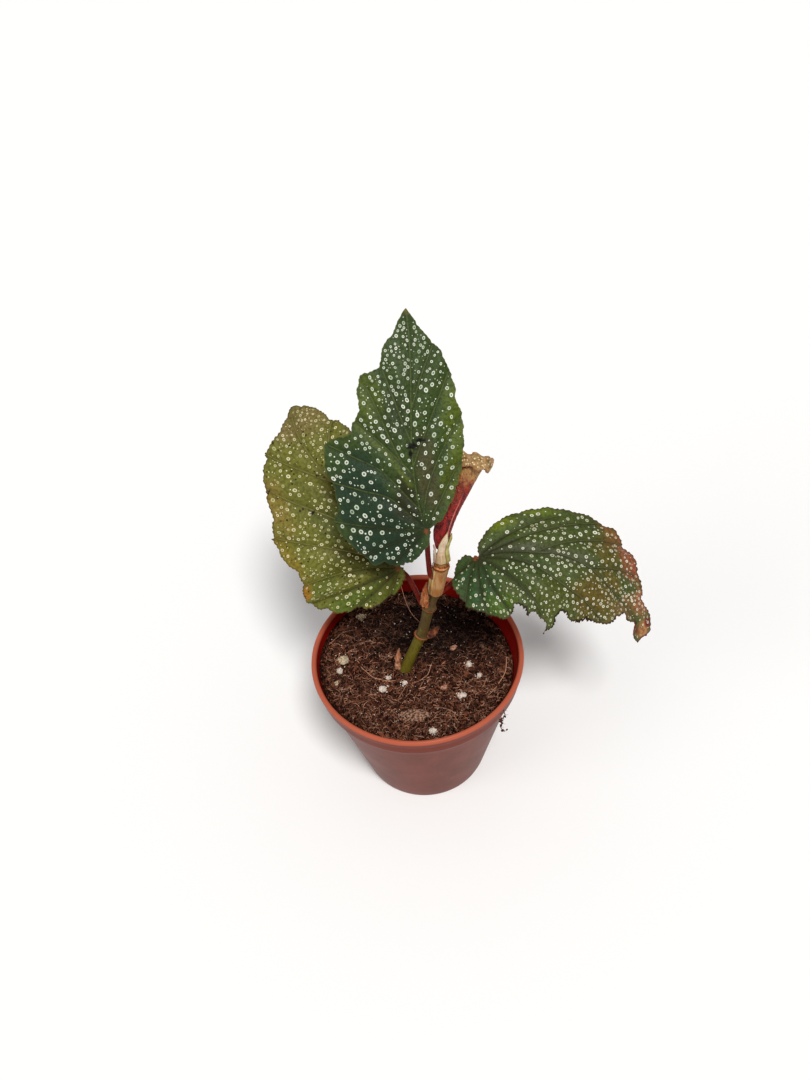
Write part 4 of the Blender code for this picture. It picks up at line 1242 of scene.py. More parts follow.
def stalk_finish():
    """Dark red with streaks, and paler where the stalk meets the stem and the blade."""
    finish = Finish("stalk skin", 0.1)
    place = finish.solid_place()
    streaks = finish.noise(place, 0.4, 4, (1, 1, 0.15))
    reach = finish.attribute("share")
    colour = finish.mix(finish.step(streaks, 0.35, 0.7), STALK_RED, STALK_DARK)
    colour = finish.over(colour, STALK_PALE, 0.5, streaks, 0.62, 0.8)
    ends = finish.step(reach, 0.16, 0.04) + finish.step(reach, 0.9, 0.98)
    colour = finish.mix(ends * 0.6, colour, STALK_END)
    return finish.shade(colour, 0.36 + streaks * 0.2, finish.bump(streaks, 0.05))


stalk_skin = stalk_finish()
for name, points in STALKS.items():
    path = smooth_path(points, 0.4)
    share = lengths_along(path) / lengths_along(path)[-1]
    radii = STALK_RADIUS * (1 + 0.35 * np.exp(-share / 0.08) + 0.45 * np.exp((share - 1) / 0.05))
    make_piece(f"stalk_{name}", *tube(path, radii, STALK_SIDES), [stalk_skin],
               values={"share": np.repeat(share, STALK_SIDES)}, slot="stalk", stands_for=[f"petiole_{name}"])

# %% [markdown]
# ## The open leaves
# A begonia leaf is lopsided, waved and toothed, puffed between sunk veins, and covered in cream rings
# and dots. Its shape is worked out in two steps. First it is a flat plan, with its outline, its veins and
# its spots in millimetres. Then the plan is laid on a curved midrib in space. The flat plan is cut into
# triangles whose edges follow the veins and the rings, so both stay crisp without any picture.

# %% The plans of the three leaves
LEAF_A = {
    "midrib": ((5.7, -4, 108.6), (1, 7.5, 124.3), (6.9, 18.5, 141), (6, 34.5, 153)),
    "face": ((-0.1, -0.8, 0.6), (0, -0.76, 0.65), (0.02, -0.68, 0.73)), "bend": (0.016, 0.02),
    "puff": 0.9, "wave": 0.35,
    "outline": (
        (0.2, 60, 1), (2, 56.6), (5.1, 51.8), (7.5, 49.6), (9.8, 45.3), (11.9, 40.2), (12.5, 35.2),
        (14.1, 31.5), (14.4, 26), (13.7, 18), (12.2, 12.6), (9.3, 6.5), (5.2, 1.6), (0.9, 0, 1),
        (1.1, -1.4), (-0.9, -4.3), (-5, -6.7), (-10.2, -7.7), (-14.3, -5.9, 1), (-17.1, -5.3),
        (-19.3, -3), (-20.7, -0.5), (-23.3, 3.6), (-25.5, 6.8, 1), (-22.6, 9.5, 1), (-22.5, 11.6),
        (-23.7, 15.2), (-24.3, 19), (-24.2, 24.9, 1), (-19.6, 26.2), (-16.3, 27.2, 1), (-15.8, 30),
        (-13.7, 33, 1), (-14.5, 37), (-14, 41.2), (-12.9, 42.6), (-8.3, 44.3, 1), (-7.9, 47.4),
        (-7, 50), (-4.4, 53.5), (-1.4, 58.4),
    ),
    "veins": (
        ((0, -0.5), (0, 15), (0.1, 30), (0.1, 59)), ((0, 15), (-3.4, 20), (-8.6, 32), (-12.2, 39.5)),
        ((-1.3, 17), (-7.5, 23.5), (-14.6, 29.8)), ((0, 24), (-3.5, 33), (-7.4, 43.5)),
        ((0, 0.5), (-6.8, 9.6), (-14.8, 12.8), (-23.2, 15.2)), ((0, 6), (-8, 16.5), (-16, 21), (-23, 24)),
        ((0, 0.2), (-13, 3.9), (-24.7, 6.8)), ((0, 0), (-11.3, -1), (-20.2, -2.1)),
        ((0, 0), (-6.8, -3.5), (-12.6, -6.6)), ((0.2, 18), (4, 27), (8, 37), (10.4, 43)),
        ((0.6, 4), (3.5, 12), (9, 23), (13.6, 31)), ((0.8, 1), (6.5, 8), (12.6, 17.5)),
        ((0.2, 33), (3, 42), (6.2, 49.5)),
    ),
}

LEAF_B = {
    "midrib": ((-3.3, 5, 84.6), (-9.5, 16, 98.5), (-29.5, 26.5, 108), (-29.7, 46, 113.3)),
    "face": ((0.05, -0.62, 0.78), (-0.08, -0.62, 0.78), (-0.15, -0.62, 0.78)), "bend": (0.016, 0.016),
    "puff": 1.1, "wave": 0.5,
    "outline": (
        (-0.2, 59.2, 1), (1.6, 59.1), (3.3, 57.9, 1), (4.8, 58.2), (8.1, 55.7), (9.8, 53), (10.3, 50.4, 1),
        (12.6, 47.4), (13.9, 43.4), (15, 36), (15.2, 28), (14.3, 20), (12.2, 12.6), (9.2, 6.5),
        (5.4, 2.4), (1.7, 0.2, 1), (2.2, -1.4), (0.8, -4.2), (-3.2, -7), (-8.9, -8.4), (-12.8, -8.1),
        (-14.8, -6.4, 1), (-19, -6.2), (-21.9, -5), (-23.6, -3, 1), (-26.4, -2.2), (-28, 0.8),
        (-28.4, 6.8), (-27.6, 12.2), (-25.3, 17.6), (-25.1, 19.6, 1), (-25.9, 23.2), (-25.6, 27.4),
        (-25.1, 31.4, 1), (-20.4, 34.3), (-18.4, 37.8), (-17.4, 41.4), (-14.6, 45.2), (-11.6, 47.6, 1),
        (-11.8, 49.2), (-8.8, 50.2), (-5, 52.4), (-2.4, 55),
    ),
    "veins": (
        ((0, -0.5), (0, 16), (0.4, 32), (-0.2, 58.6)), ((0.5, 31), (-4, 39), (-10.7, 48.2)),
        ((0, 8), (-6.6, 24), (-16.6, 42)), ((0, 1), (-7.8, 10.5), (-17, 22.5), (-24.4, 31)),
        ((0, 0.2), (-13, 7), (-27.4, 13)), ((-0.3, -0.3), (-13, -0.2), (-27, 0.6)),
        ((-0.4, -0.6), (-8, -3.4), (-17, -6)), ((-0.2, -1), (-4, -5), (-7, -7.8)),
        ((0.5, 26), (5, 38), (11.2, 49)), ((0.3, 10), (6, 22), (14.4, 35)),
        ((0.3, 2), (7, 12), (14.2, 20)),
    ),
}

LEAF_C = {
    "midrib": ((19.5, 1, 90.4), (40, -1, 101), (63, -6, 83), (63.6, -14, 63.3)),
    "face": ((-0.05, -0.35, 0.94), (0.2, -0.35, 0.9), (0.4, -0.5, 0.75), (0.6, -0.7, 0.4)),
    "bend": (0.022, 0.028), "puff": 1, "wave": 0.45,
    "outline": (
        (-0.4, 0, 1), (-3, 0.8), (-6.7, 3.5), (-9.8, 7.1), (-11.8, 10.8), (-13.8, 15.7), (-15.6, 20.6),
        (-15.8, 22.8), (-16, 25.2), (-17.1, 29.6), (-16.9, 32.4), (-15.7, 34.4, 1), (-16.6, 36.8),
        (-15.4, 40), (-14.1, 41.1, 1), (-14.8, 43), (-12.6, 46), (-10.6, 48.2), (-7.9, 51.5),
        (-6.1, 52.4, 1), (-7.2, 57), (-6.9, 61.2), (-5.2, 62.9), (-2.1, 62.8), (0, 63.2, 1),
        (1.4, 60), (-0.9, 57.6, 1), (2.2, 54.6), (1.8, 52.5, 1), (4, 51.3), (6.8, 51.6), (9.8, 48.9),
        (13.3, 42.3), (15.9, 38.8), (15.6, 34), (15.3, 30.5, 1), (19.1, 31.1), (22.9, 27.2, 1),
        (20, 26.4), (19.3, 23), (17.9, 20), (19.1, 15.8), (17, 13), (15.9, 10.4, 1), (18.4, 9.2),
        (19.6, 5.6), (18.6, 0.4), (17.2, -3.2), (14.3, -5.8), (13.8, -7.9), (10.4, -8.5), (6.6, -9.5),
        (2.9, -9.1), (-0.6, -6.2), (-1.9, -3.4), (-0.9, -1.4),
    ),
    "veins": (
        ((0, -0.5), (0.2, 7), (0.4, 17), (-0.7, 24), (-0.6, 34.5), (0.2, 45), (-1.5, 60)),
        ((0.4, 16.8), (-5.1, 25.4), (-12.4, 37.4), (-14.6, 42)), ((-0.8, 34), (-4.5, 39.5), (-9.4, 47)),
        ((-0.2, 1), (-7, 12.5), (-13.2, 22)), ((0, 2), (-2.9, 10.4), (-9, 21.7), (-15.6, 32)),
        ((0.8, 2.4), (3.7, 15), (7.4, 26.7), (8.4, 37), (8.9, 47.5)),
        ((0.5, 0.6), (6.5, 8), (10.6, 13.4), (17.6, 23)), ((0.6, 0.3), (9.5, 2.4), (18, 7.6)),
        ((0.4, 0), (9, -1.8), (17.6, -2.4)), ((0.2, -0.3), (6, -4.6), (12, -7.8)),
        ((0, -0.5), (1.6, -4.8), (2.6, -8.2)),
    ),
}

# %% How each leaf's spots and margin are drawn
LEAF_A.update(
    scatter={"seed": 5, "rings": 225, "dots": 240, "ring": (0.36, 0.62), "long": 1.45, "crowd": 42.0},
    sparse=((4, 12, 10), (-5, 14, 8), (12, 34, 5)),
    margin={"tooth": 0.15, "scallop": 0.42, "ragged": 0.08},
    torn=(((-12, -6.5), 6, 0.5),),
    bands=(((-14.8, 29), (-10, 24.4), (-5.8, 20.6), (-1, 12.6)),),
    shade_side=(0.25, -1),
)
LEAF_B.update(
    scatter={"seed": 8, "rings": 235, "dots": 320, "ring": (0.33, 0.6), "long": 1.35, "crowd": 52.0},
    sparse=((-4, 2, 8), (-26, 10, 4), (-18, 43, 4)),
    margin={"tooth": 0.32, "scallop": 0.4, "ragged": 0.25},
    torn=(((-9, -7.5), 9, 0.7), ((-1, 58), 8, 0.4)),
    # Leaf B's bands carry painted shadow of leaf A.
    bands=(((-1, 3), (-7, 11), (-12, 17)), ((-2, -2.6), (-7, -5.2), (-12, -6.8))),
    shade_side=(0.1, -1),
)
LEAF_C.update(
    scatter={"seed": 13, "rings": 300, "dots": 240, "ring": (0.31, 0.55), "long": 1.4, "crowd": 44.0},
    sparse=((-9, 6, 9), (0, 8, 7), (-13, 22, 5), (-3, 60, 3)),
    margin={"tooth": 0.36, "scallop": 0.35, "ragged": 0.22},
    torn=(
        ((16.5, 30), 5, 1.1), ((13, 41), 5.5, 1.3), ((18, 14), 5, 1.1), ((15, -4), 9, 0.7),
        ((5, 52), 5, 0.8), ((-12, 46), 8, 0.4), ((-3, 61), 4, 0.8),
    ),
    # Leaf C's band along the midrib is a painted grey sheen.
    bands=(((0.3, 1), (-0.6, 7), (-1, 14), (-0.6, 24), (-2.6, 34)),),
    shade_side=(1, 0),
)
LEAVES = {"A": LEAF_A, "B": LEAF_B, "C": LEAF_C}
asked = sum(leaf["scatter"]["rings"] + leaf["scatter"]["dots"] for leaf in LEAVES.values())
print("rings and dots asked for:", asked)

# %% Laying a flat plan on a curved leaf
VEIN_WIDTH = 2.2
VEIN_DEPTH = 0.6
GROOVE_WIDTH = 0.3
GROOVE_DEPTH = 0.16


class Blade:
    """A leaf's flat plan laid on its curved shape in space."""

    def __init__(self, leaf):
        self.leaf = leaf
        self.knots = [np.array(point) for point in leaf["midrib"]]
        self.times = np.linspace(0, 1, 401)
        self.reach = lengths_along(self.middle(self.times))
        self.faces = np.array(leaf["face"])
        self.veins = [smooth_path(vein, 0.7) for vein in leaf["veins"]]

    def middle(self, t):
        return curve_point(self.knots, np.asarray(t)[:, None])

    def direction(self, t):
        a, b, c, d = self.knots
        t = np.asarray(t)[:, None]
        run = (b - a) * (1 - t) ** 2 + (c - b) * 2 * (1 - t) * t + (d - c) * t**2
        return units(run)

    def frame(self, y):
        """At each y: the midrib's point, the way up from the blade and the way across it."""
        held = np.clip(y, 0, self.reach[-1])
        t = np.interp(held, self.reach, self.times)
        along = self.direction(t)
        point = self.middle(t) + along * (y - held)[:, None]
        place = held / self.reach[-1] * (len(self.faces) - 1)
        first = np.minimum(place.astype(int), len(self.faces) - 2)
        part = (place - first)[:, None]
        up = self.faces[first] * (1 - part) + self.faces[first + 1] * part
        up = units(up - along * (up * along).sum(1)[:, None])
        return point, up, np.cross(along, up)

    def vein_distance(self, plan):
        return np.min([distance_to(plan, vein) for vein in self.veins], axis=0)

    def vein_course(self, plan):
        """The nearest vein's direction, and which side of it a place is on: -1 lit to 1 shaded."""
        starts = np.concatenate([vein[:-1] for vein in self.veins])
        runs = np.concatenate([np.diff(vein, axis=0) for vein in self.veins])
        gap = plan[:, None] - starts[None]
        t = np.clip((gap * runs).sum(-1) / (runs**2).sum(-1), 0, 1)
        gap = gap - runs * t[..., None]
        nearest = np.argmin((gap**2).sum(-1), axis=1)
        run = runs[nearest]
        away = gap[np.arange(len(plan)), nearest] @ np.array(self.leaf["shade_side"])
        return units(run), np.clip(away / GROOVE_WIDTH, -1, 1)

    def relief(self, plan):
        """How far the blade stands up between its veins, with the slow wave of its margin."""
        nearest = self.vein_distance(plan)
        lift = 1 - hump(nearest, VEIN_WIDTH)
        settled = VEIN_DEPTH * np.minimum(np.hypot(*plan.T) / 12, 1.0)
        reach = np.minimum(np.abs(plan[:, 0]) / 22, 1.0) ** 2
        wave = self.leaf["wave"] * reach * np.sin(0.42 * plan[:, 1] + 0.05 * plan[:, 0])
        groove = GROOVE_DEPTH * hump(nearest, GROOVE_WIDTH)
        quilted = 0.1 * roughness_at(plan, 1.9, 3) + 0.16 * roughness_at(plan, 4.5, 6)
        puffed = self.leaf["puff"] * (lift - settled)
        return puffed + wave - groove + quilted * step_between(nearest, 0.4, 2)

    def lay(self, plan, depth=0.0):
        """The places in space of flat points, on the upper side or a depth below it."""
        middle, up, across = self.frame(plan[:, 1])
        x = plan[:, :1]
        bend = np.where(x < 0, *self.leaf["bend"])
        sideways = across * (np.sin(bend * x) / bend) - up * ((1 - np.cos(bend * x)) / bend)
        normal = up * np.cos(bend * x) + across * np.sin(bend * x)
        return middle + sideways + normal * (self.relief(plan) - depth)[:, None]


for name, leaf in LEAVES.items():
    print(f"leaf {name} is {Blade(leaf).reach[-1]:.1f} mm long from its stalk to its tip")

# %% [markdown]
# ## The margin
# A begonia's edge is scalloped and finely toothed, and an old one is torn. The outline itself carries the
# teeth, so they throw a shadow. A saw wave and a slower scallop run along it, and noise breaks both.

# %% The toothed margin
MARGIN_STEP = 0.33
TOOTH_SPACING = 1.35
SCALLOP_SPACING = 5.5


def turned_area(outline):
    """The signed area of an outline: above zero where it runs anticlockwise."""
    x, y = outline.T
    return 0.5 * float((x * np.roll(y, -1) - np.roll(x, -1) * y).sum())


def toothed_margin(leaf):
    """The outline with fine forward-leaning teeth drawn in from it, and torn where it is damaged."""
    outline = closed_outline(leaf["outline"], MARGIN_STEP)
    margin, seed = leaf["margin"], leaf["scatter"]["seed"]
    along = lengths_along(outline)
    phase = (along / TOOTH_SPACING + 0.35 * roughness_at(outline, 6.0, seed)) % 1.0
    saw = np.where(phase < 0.72, phase / 0.72, (1 - phase) / 0.28)
    broad = (along / SCALLOP_SPACING + 0.5 * roughness_at(outline, 9.0, seed + 1)) % 1.0
    scallop = np.where(broad < 0.85, (1 - broad / 0.85) ** 1.5, (broad - 0.85) / 0.15)
    ragged = np.clip(roughness_at(outline, 1.3, seed + 2), 0, 1) * margin["ragged"] * 1.6
    torn = np.zeros(len(outline))
    for centre, reach, depth in leaf["torn"]:
        away = np.linalg.norm(outline - np.array(centre), axis=1)
        torn = np.maximum(torn, depth * hump(away, reach))
    jagged = np.abs(roughness_at(outline, 1.0, seed + 4))
    jagged = jagged + 0.7 * np.abs(roughness_at(outline, 0.45, seed + 6))
    depth = margin["tooth"] * (1 - saw) + margin["scallop"] * scallop + ragged + torn * jagged * 1.5
    from_tip = np.linalg.norm(outline - outline[np.argmax(outline[:, 1])], axis=1)
    depth *= 0.25 + 0.75 * step_between(from_tip, 1, 7)
    run = np.roll(outline, -1, axis=0) - np.roll(outline, 1, axis=0)
    out = units(np.stack((run[:, 1], -run[:, 0]), 1)) * np.sign(turned_area(outline))
    return outline - out * depth[:, None], torn


# %% [markdown]
# ## The spots
# A pattern in the material would run over veins and off the edge. Here each spot has a place of its own:
# one is drawn at random, and kept if it is clear of the veins, the margin and the other spots.

# %% Drawing the spots
DOT_RADII = (0.12, 0.24)
RING_ROOM = (0.25, 0.8, 1.1)
TRIES = 30000


def scatter_spots(blade, outline, loop):
    """Rings and dots, clear of veins and margin: x, y, radius, length, direction, is a ring, tone."""
    scatter = blade.leaf["scatter"]
    draw = np.random.default_rng(scatter["seed"])
    low, high = outline.min(0), outline.max(0)
    tries = draw.uniform(low, high, (TRIES, 2))
    tries = tries[inside(tries, outline)]
    to_margin, to_vein = distance_to(tries, loop), blade.vein_distance(tries)
    course, _ = blade.vein_course(tries)
    from_stalk = np.hypot(*tries.T)
    spots = []
    rings = 0
    for i, place in enumerate(tries):
        crowd = 1 - float(step_between(place[1], scatter["crowd"] - 8, scatter["crowd"] + 4))
        is_ring = rings < scatter["rings"]
        size = draw.uniform(*(scatter["ring"] if is_ring else DOT_RADII)) * (0.78 + 0.22 * crowd)
        size *= 0.7 + 0.3 * float(step_between(from_stalk[i], 3, 9))
        room = draw.choice(RING_ROOM) * (0.35 + 0.65 * crowd) if is_ring else 0.25
        if to_margin[i] < size + 0.45 or to_vein[i] < size + 0.16 or from_stalk[i] < 3.0:
            continue
        x, y = place
        bare = max(np.exp(-(((x - u) ** 2 + (y - v) ** 2) / far**2)) for u, v, far in blade.leaf["sparse"])
        if draw.random() > (1 - 0.8 * bare) * (1 - 0.45 * crowd):
            continue
        if spots:
            known = np.array(spots)
            gaps = np.hypot(known[:, 0] - x, known[:, 1] - y) - known[:, 2] - size
            if gaps.min() < room:
                continue
        angle = np.arctan2(course[i, 1], course[i, 0]) + draw.normal(0, 0.25)
        length = draw.uniform(1.0, scatter["long"])
        spots.append((*place, size, length, angle, 1.0 if is_ring else 0.0, draw.uniform(0.75, 1.0)))
        rings += is_ring
        if len(spots) >= scatter["rings"] + scatter["dots"]:
            break
    print(f"{rings} rings and {len(spots) - rings} dots")
    return np.array(spots)


# %% Cutting the plan into triangles
BLADE_SPACING = 0.95
BLADE_THICKNESS = 0.45
EDGE_THICKNESS = 0.26
RIB_HEIGHT = 0.5
RIB_WIDTH = 0.5
RING_ROUNDS = ((0.5, 0.0), (1.0, 0.5), (1.45, 0.0))
DOT_ROUNDS = ((1.0, 0.0), (1.6, 0.5))
RAILS = (0.34, 0.8)


def ring_points(spots):
    """Points at each spot's middle, on its edge and just outside it."""
    made = []
    for x, y, radius, length, angle, is_ring, _ in spots:
        count = 10 if is_ring else 6
        made.append((x, y))
        for share, offset in RING_ROUNDS if is_ring else DOT_ROUNDS:
            for k in range(count):
                a = 2 * pi * (k + offset) / count
                made.append(turned(share * radius * length * cos(a), share * radius * sin(a), angle, x, y))
    return np.array(made)


def rails(vein, offset):
    """Two lines of points beside a vein."""
    run = np.gradient(vein, axis=0)
    side = units(np.stack((-run[:, 1], run[:, 0]), 1))
    return np.concatenate((vein + side * offset, vein - side * offset))


def keep_apart(places, others, gap):
    """The places that lie further than a gap from all others."""
    near = np.concatenate([
        np.hypot(part[:, None, 0] - others[None, :, 0], part[:, None, 1] - others[None, :, 1]).min(1)
        for part in np.array_split(places, 12)
    ])
    return places[near > gap]


def clear_of(places, outline, loop, gap):
    """The places within an outline that lie further than a gap from it."""
    places = places[inside(places, outline)]
    return places[distance_to(places, loop) > gap]


def triangulate_plan(blade, outline, loop, spots):
    """The plan's points and triangles. Veins are held as edges, with rails of points beside them."""
    lines = []
    for vein in blade.veins:
        held = clear_of(vein, outline, loop, 0.35)
        if len(held) > 1:
            lines.append(held)
    circles = clear_of(ring_points(spots), outline, loop, 0.15)
    fixed = np.concatenate([circles] + lines)
    beside = np.concatenate([rails(line, offset) for line in lines for offset in RAILS])
    beside = keep_apart(clear_of(beside, outline, loop, 0.3), fixed, 0.22)
    low, high = outline.min(0), outline.max(0)
    row_step = BLADE_SPACING * TRIANGLE_HEIGHT
    grid = [
        (x + 0.5 * BLADE_SPACING * (row % 2), y)
        for row, y in enumerate(np.arange(low[1], high[1], row_step))
        for x in np.arange(low[0], high[0], BLADE_SPACING)
    ]
    grid = keep_apart(clear_of(np.array(grid), outline, loop, 0.4), np.concatenate((fixed, beside)), 0.42)
    points, edges = [outline, circles, beside, grid], []
    start = sum(len(part) for part in points)
    for line in lines:
        points.append(line)
        edges += [(start + i, start + i + 1) for i in range(len(line) - 1)]
        start += len(line)
    return fill_outline(np.concatenate(points), edges, len(outline))


# %% Each point's place in its spot
def spot_values(plan, spots):
    """For each point, its distance from the nearest spot in radii, 1 where that is a ring, and its tone."""
    best, ring, tone = np.full(len(plan), 2.0), np.zeros(len(plan)), np.ones(len(plan))
    for x, y, radius, length, angle, is_ring, spot_tone in spots:
        u, v = turned(plan[:, 0] - x, plan[:, 1] - y, -angle)
        share = np.hypot(u / length, v) / radius
        nearer = share < best
        best[nearer] = share[nearer]
        ring[nearer] = is_ring
        tone[nearer] = spot_tone
    return best, ring, tone


# %% [markdown]
# ## The finish of a leaf
# A leaf is never one green. Its colour drifts from lobe to lobe, and an old leaf turns tan and rust towards
# its margin. The dark beside the sunk veins is painted shade, strongest in each groove and on the vein's side
# away from the light, and a pale line on the lit side is partly the vein's own colour and partly a painted
# highlight. The finish starts from the leaf's body colour and lays a few ragged washes over it, each an oval
# on the plan, as a watercolourist would. On leaf B two washes and the bands are painted shadow of leaf A, and
# on leaf C the band along the midrib is a painted grey sheen. The rings, the veins and the margin come from
# the numbers that each point carries. The satin gloss is the same all over, and a fine net of raised cells
# breaks it up.

# %% Leaf colours
UNDERSIDE_RED = paint(118, 30, 32)
UNDERSIDE_PALE = paint(176, 96, 84)
UNDERSIDE_BROWN = paint(92, 52, 34)
STALK_MARK = paint(122, 66, 36)
SPECK_DARK = paint(30, 20, 6)
STAIN_BLACK = paint(12, 11, 5)
# In each look, deep is the mottle's dark and also the veins' painted shade, vein is the painted shade in the
# grooves, and rib is the veins' pale colour, which also stands for a painted highlight on their lit side.
LEAF_LOOKS = {
    "A": {
        "body": paint(58, 74, 31), "deep": paint(26, 36, 14), "vein": paint(26, 30, 8),
        "rib": paint(98, 112, 52), "rib_share": 0.5, "vein_shade_zone": ((-10, -3), (18, 14)),
        "band": (paint(96, 108, 34), 2, 0.55), "edge": paint(84, 88, 36), "edge_share": 0.3, "speckle": 0,
        "cream": (paint(228, 230, 212), paint(168, 182, 152)),
        "washes": (
            ((-13, -1), (15, 9.5), (28, 50, 34), 0.97), ((-18, 14), (9, 10), (32, 54, 36), 0.95),
            ((-13.5, 16), (8, 8.5), (36, 57, 38), 0.85), ((-13, 9), (9.5, 9.5), (32, 52, 34), 0.95),
            ((-7, 4), (8, 6.5), (30, 48, 32), 0.9), ((-22, 20), (5, 5), (54, 74, 34), 0.8),
            ((-11.5, 35.5), (5.5, 8), (84, 96, 34), 0.85), ((-1, 48), (8, 9), (66, 80, 44), 0.75),
            ((0.5, 60), (1.6, 2), (136, 112, 50), 0.8), ((12, 30), (4, 17), (84, 98, 26), 0.9),
            ((10, 12), (5, 9), (78, 88, 24), 0.85), ((3.6, 15), (3.8, 14), (74, 68, 42), 0.85),
            ((-3, 9), (4.4, 9), (40, 38, 12), 0.9), ((-4, 32), (4, 10), (56, 64, 38), 0.7),
        ),
        "stains": (((0.2, 23.2), (2, 1.2)), ((2.4, 24.7), (2.2, 0.7)), ((-0.4, 21.2), (0.7, 1.4))),
    },
    "B": {
        "body": paint(108, 108, 42), "deep": paint(52, 52, 8), "vein": paint(44, 42, 6),
        "rib": paint(146, 138, 70), "rib_share": 0.5, "vein_shade_zone": ((-9, -1), (16, 9)),
        # Leaf B's band colour is painted shadow of leaf A.
        "band": (paint(74, 70, 6), 2.6, 0.5), "edge": paint(74, 50, 12), "edge_share": 0.8,
        "speckle": 0.9, "cream": (paint(226, 216, 176), paint(176, 172, 120)),
        "washes": (
            ((1, 54), (13, 9), (124, 108, 64), 0.85), ((-18, 38), (6.5, 11), (132, 112, 50), 0.85),
            ((-25, 24), (4.5, 13), (128, 110, 36), 0.85), ((-8, 32), (7, 8), (96, 98, 38), 0.7),
            # The washes at (-10, 9.5) and (-3, 3) are painted shadow of leaf A on leaf B.
            ((-6, 20), (8, 11), (68, 76, 28), 0.75), ((-10, 9.5), (11, 7), (62, 64, 3), 0.85),
            ((-3, 3), (5.5, 5.5), (36, 44, 3), 0.9), ((-21, 6), (6, 6), (88, 98, 36), 0.75),
            ((-15, -4), (12, 5), (76, 94, 24), 0.9), ((-3, -6), (5, 4), (76, 92, 14), 0.8),
            ((-27, 9), (2.6, 3.6), (164, 104, 22), 0.75), ((-17.6, 42.2), (2, 2.6), (120, 74, 26), 0.7),
            ((-12, -8), (4.5, 1.6), (150, 128, 20), 0.7),
        ),
        "stains": (((-9.6, 28.4), (0.9, 0.6)),),
    },
    "C": {
        "body": paint(72, 83, 38), "deep": paint(38, 42, 14), "vein": paint(34, 36, 14),
        "rib": paint(104, 106, 70), "rib_share": 0.45, "vein_shade_zone": ((5, 4), (18, 16)),
        # Leaf C's band colour is a painted grey sheen.
        "band": (paint(80, 82, 60), 5, 0.75), "edge": paint(70, 40, 20), "edge_share": 0.85,
        "speckle": 0.35, "cream": (paint(226, 224, 202), paint(178, 176, 140)),
        "washes": (
            ((8, -2), (13, 9), (46, 78, 38), 0.95), ((4, 14), (7, 10), (60, 76, 32), 0.8),
            ((-5, 10), (4, 10), (76, 92, 36), 0.8), ((-9.5, 5), (3.2, 6.5), (118, 130, 22), 0.9),
            ((-13.5, 14), (2.6, 9), (98, 114, 30), 0.85), ((15, 4), (4, 9), (74, 100, 28), 0.85),
            ((12, 26), (8, 8), (78, 82, 26), 0.7), ((6, 40), (11, 10), (98, 80, 30), 0.9),
            ((-9, 38), (7, 8), (94, 82, 30), 0.85), ((-15, 40), (6, 9), (130, 84, 44), 0.9),
            ((-12, 46.5), (6.8, 7.6), (148, 82, 54), 1), ((1, 51), (7, 6), (122, 92, 52), 0.85),
            ((-7, 53), (5, 5), (156, 94, 64), 0.9), ((-3, 61), (3.6, 3), (168, 116, 72), 0.95),
            ((-5.6, 59.4), (1.5, 2), (116, 12, 28), 0.95), ((-1, 59.8), (1.2, 1.6), (120, 30, 26), 0.7),
        ),
        "stains": (),
    },
}


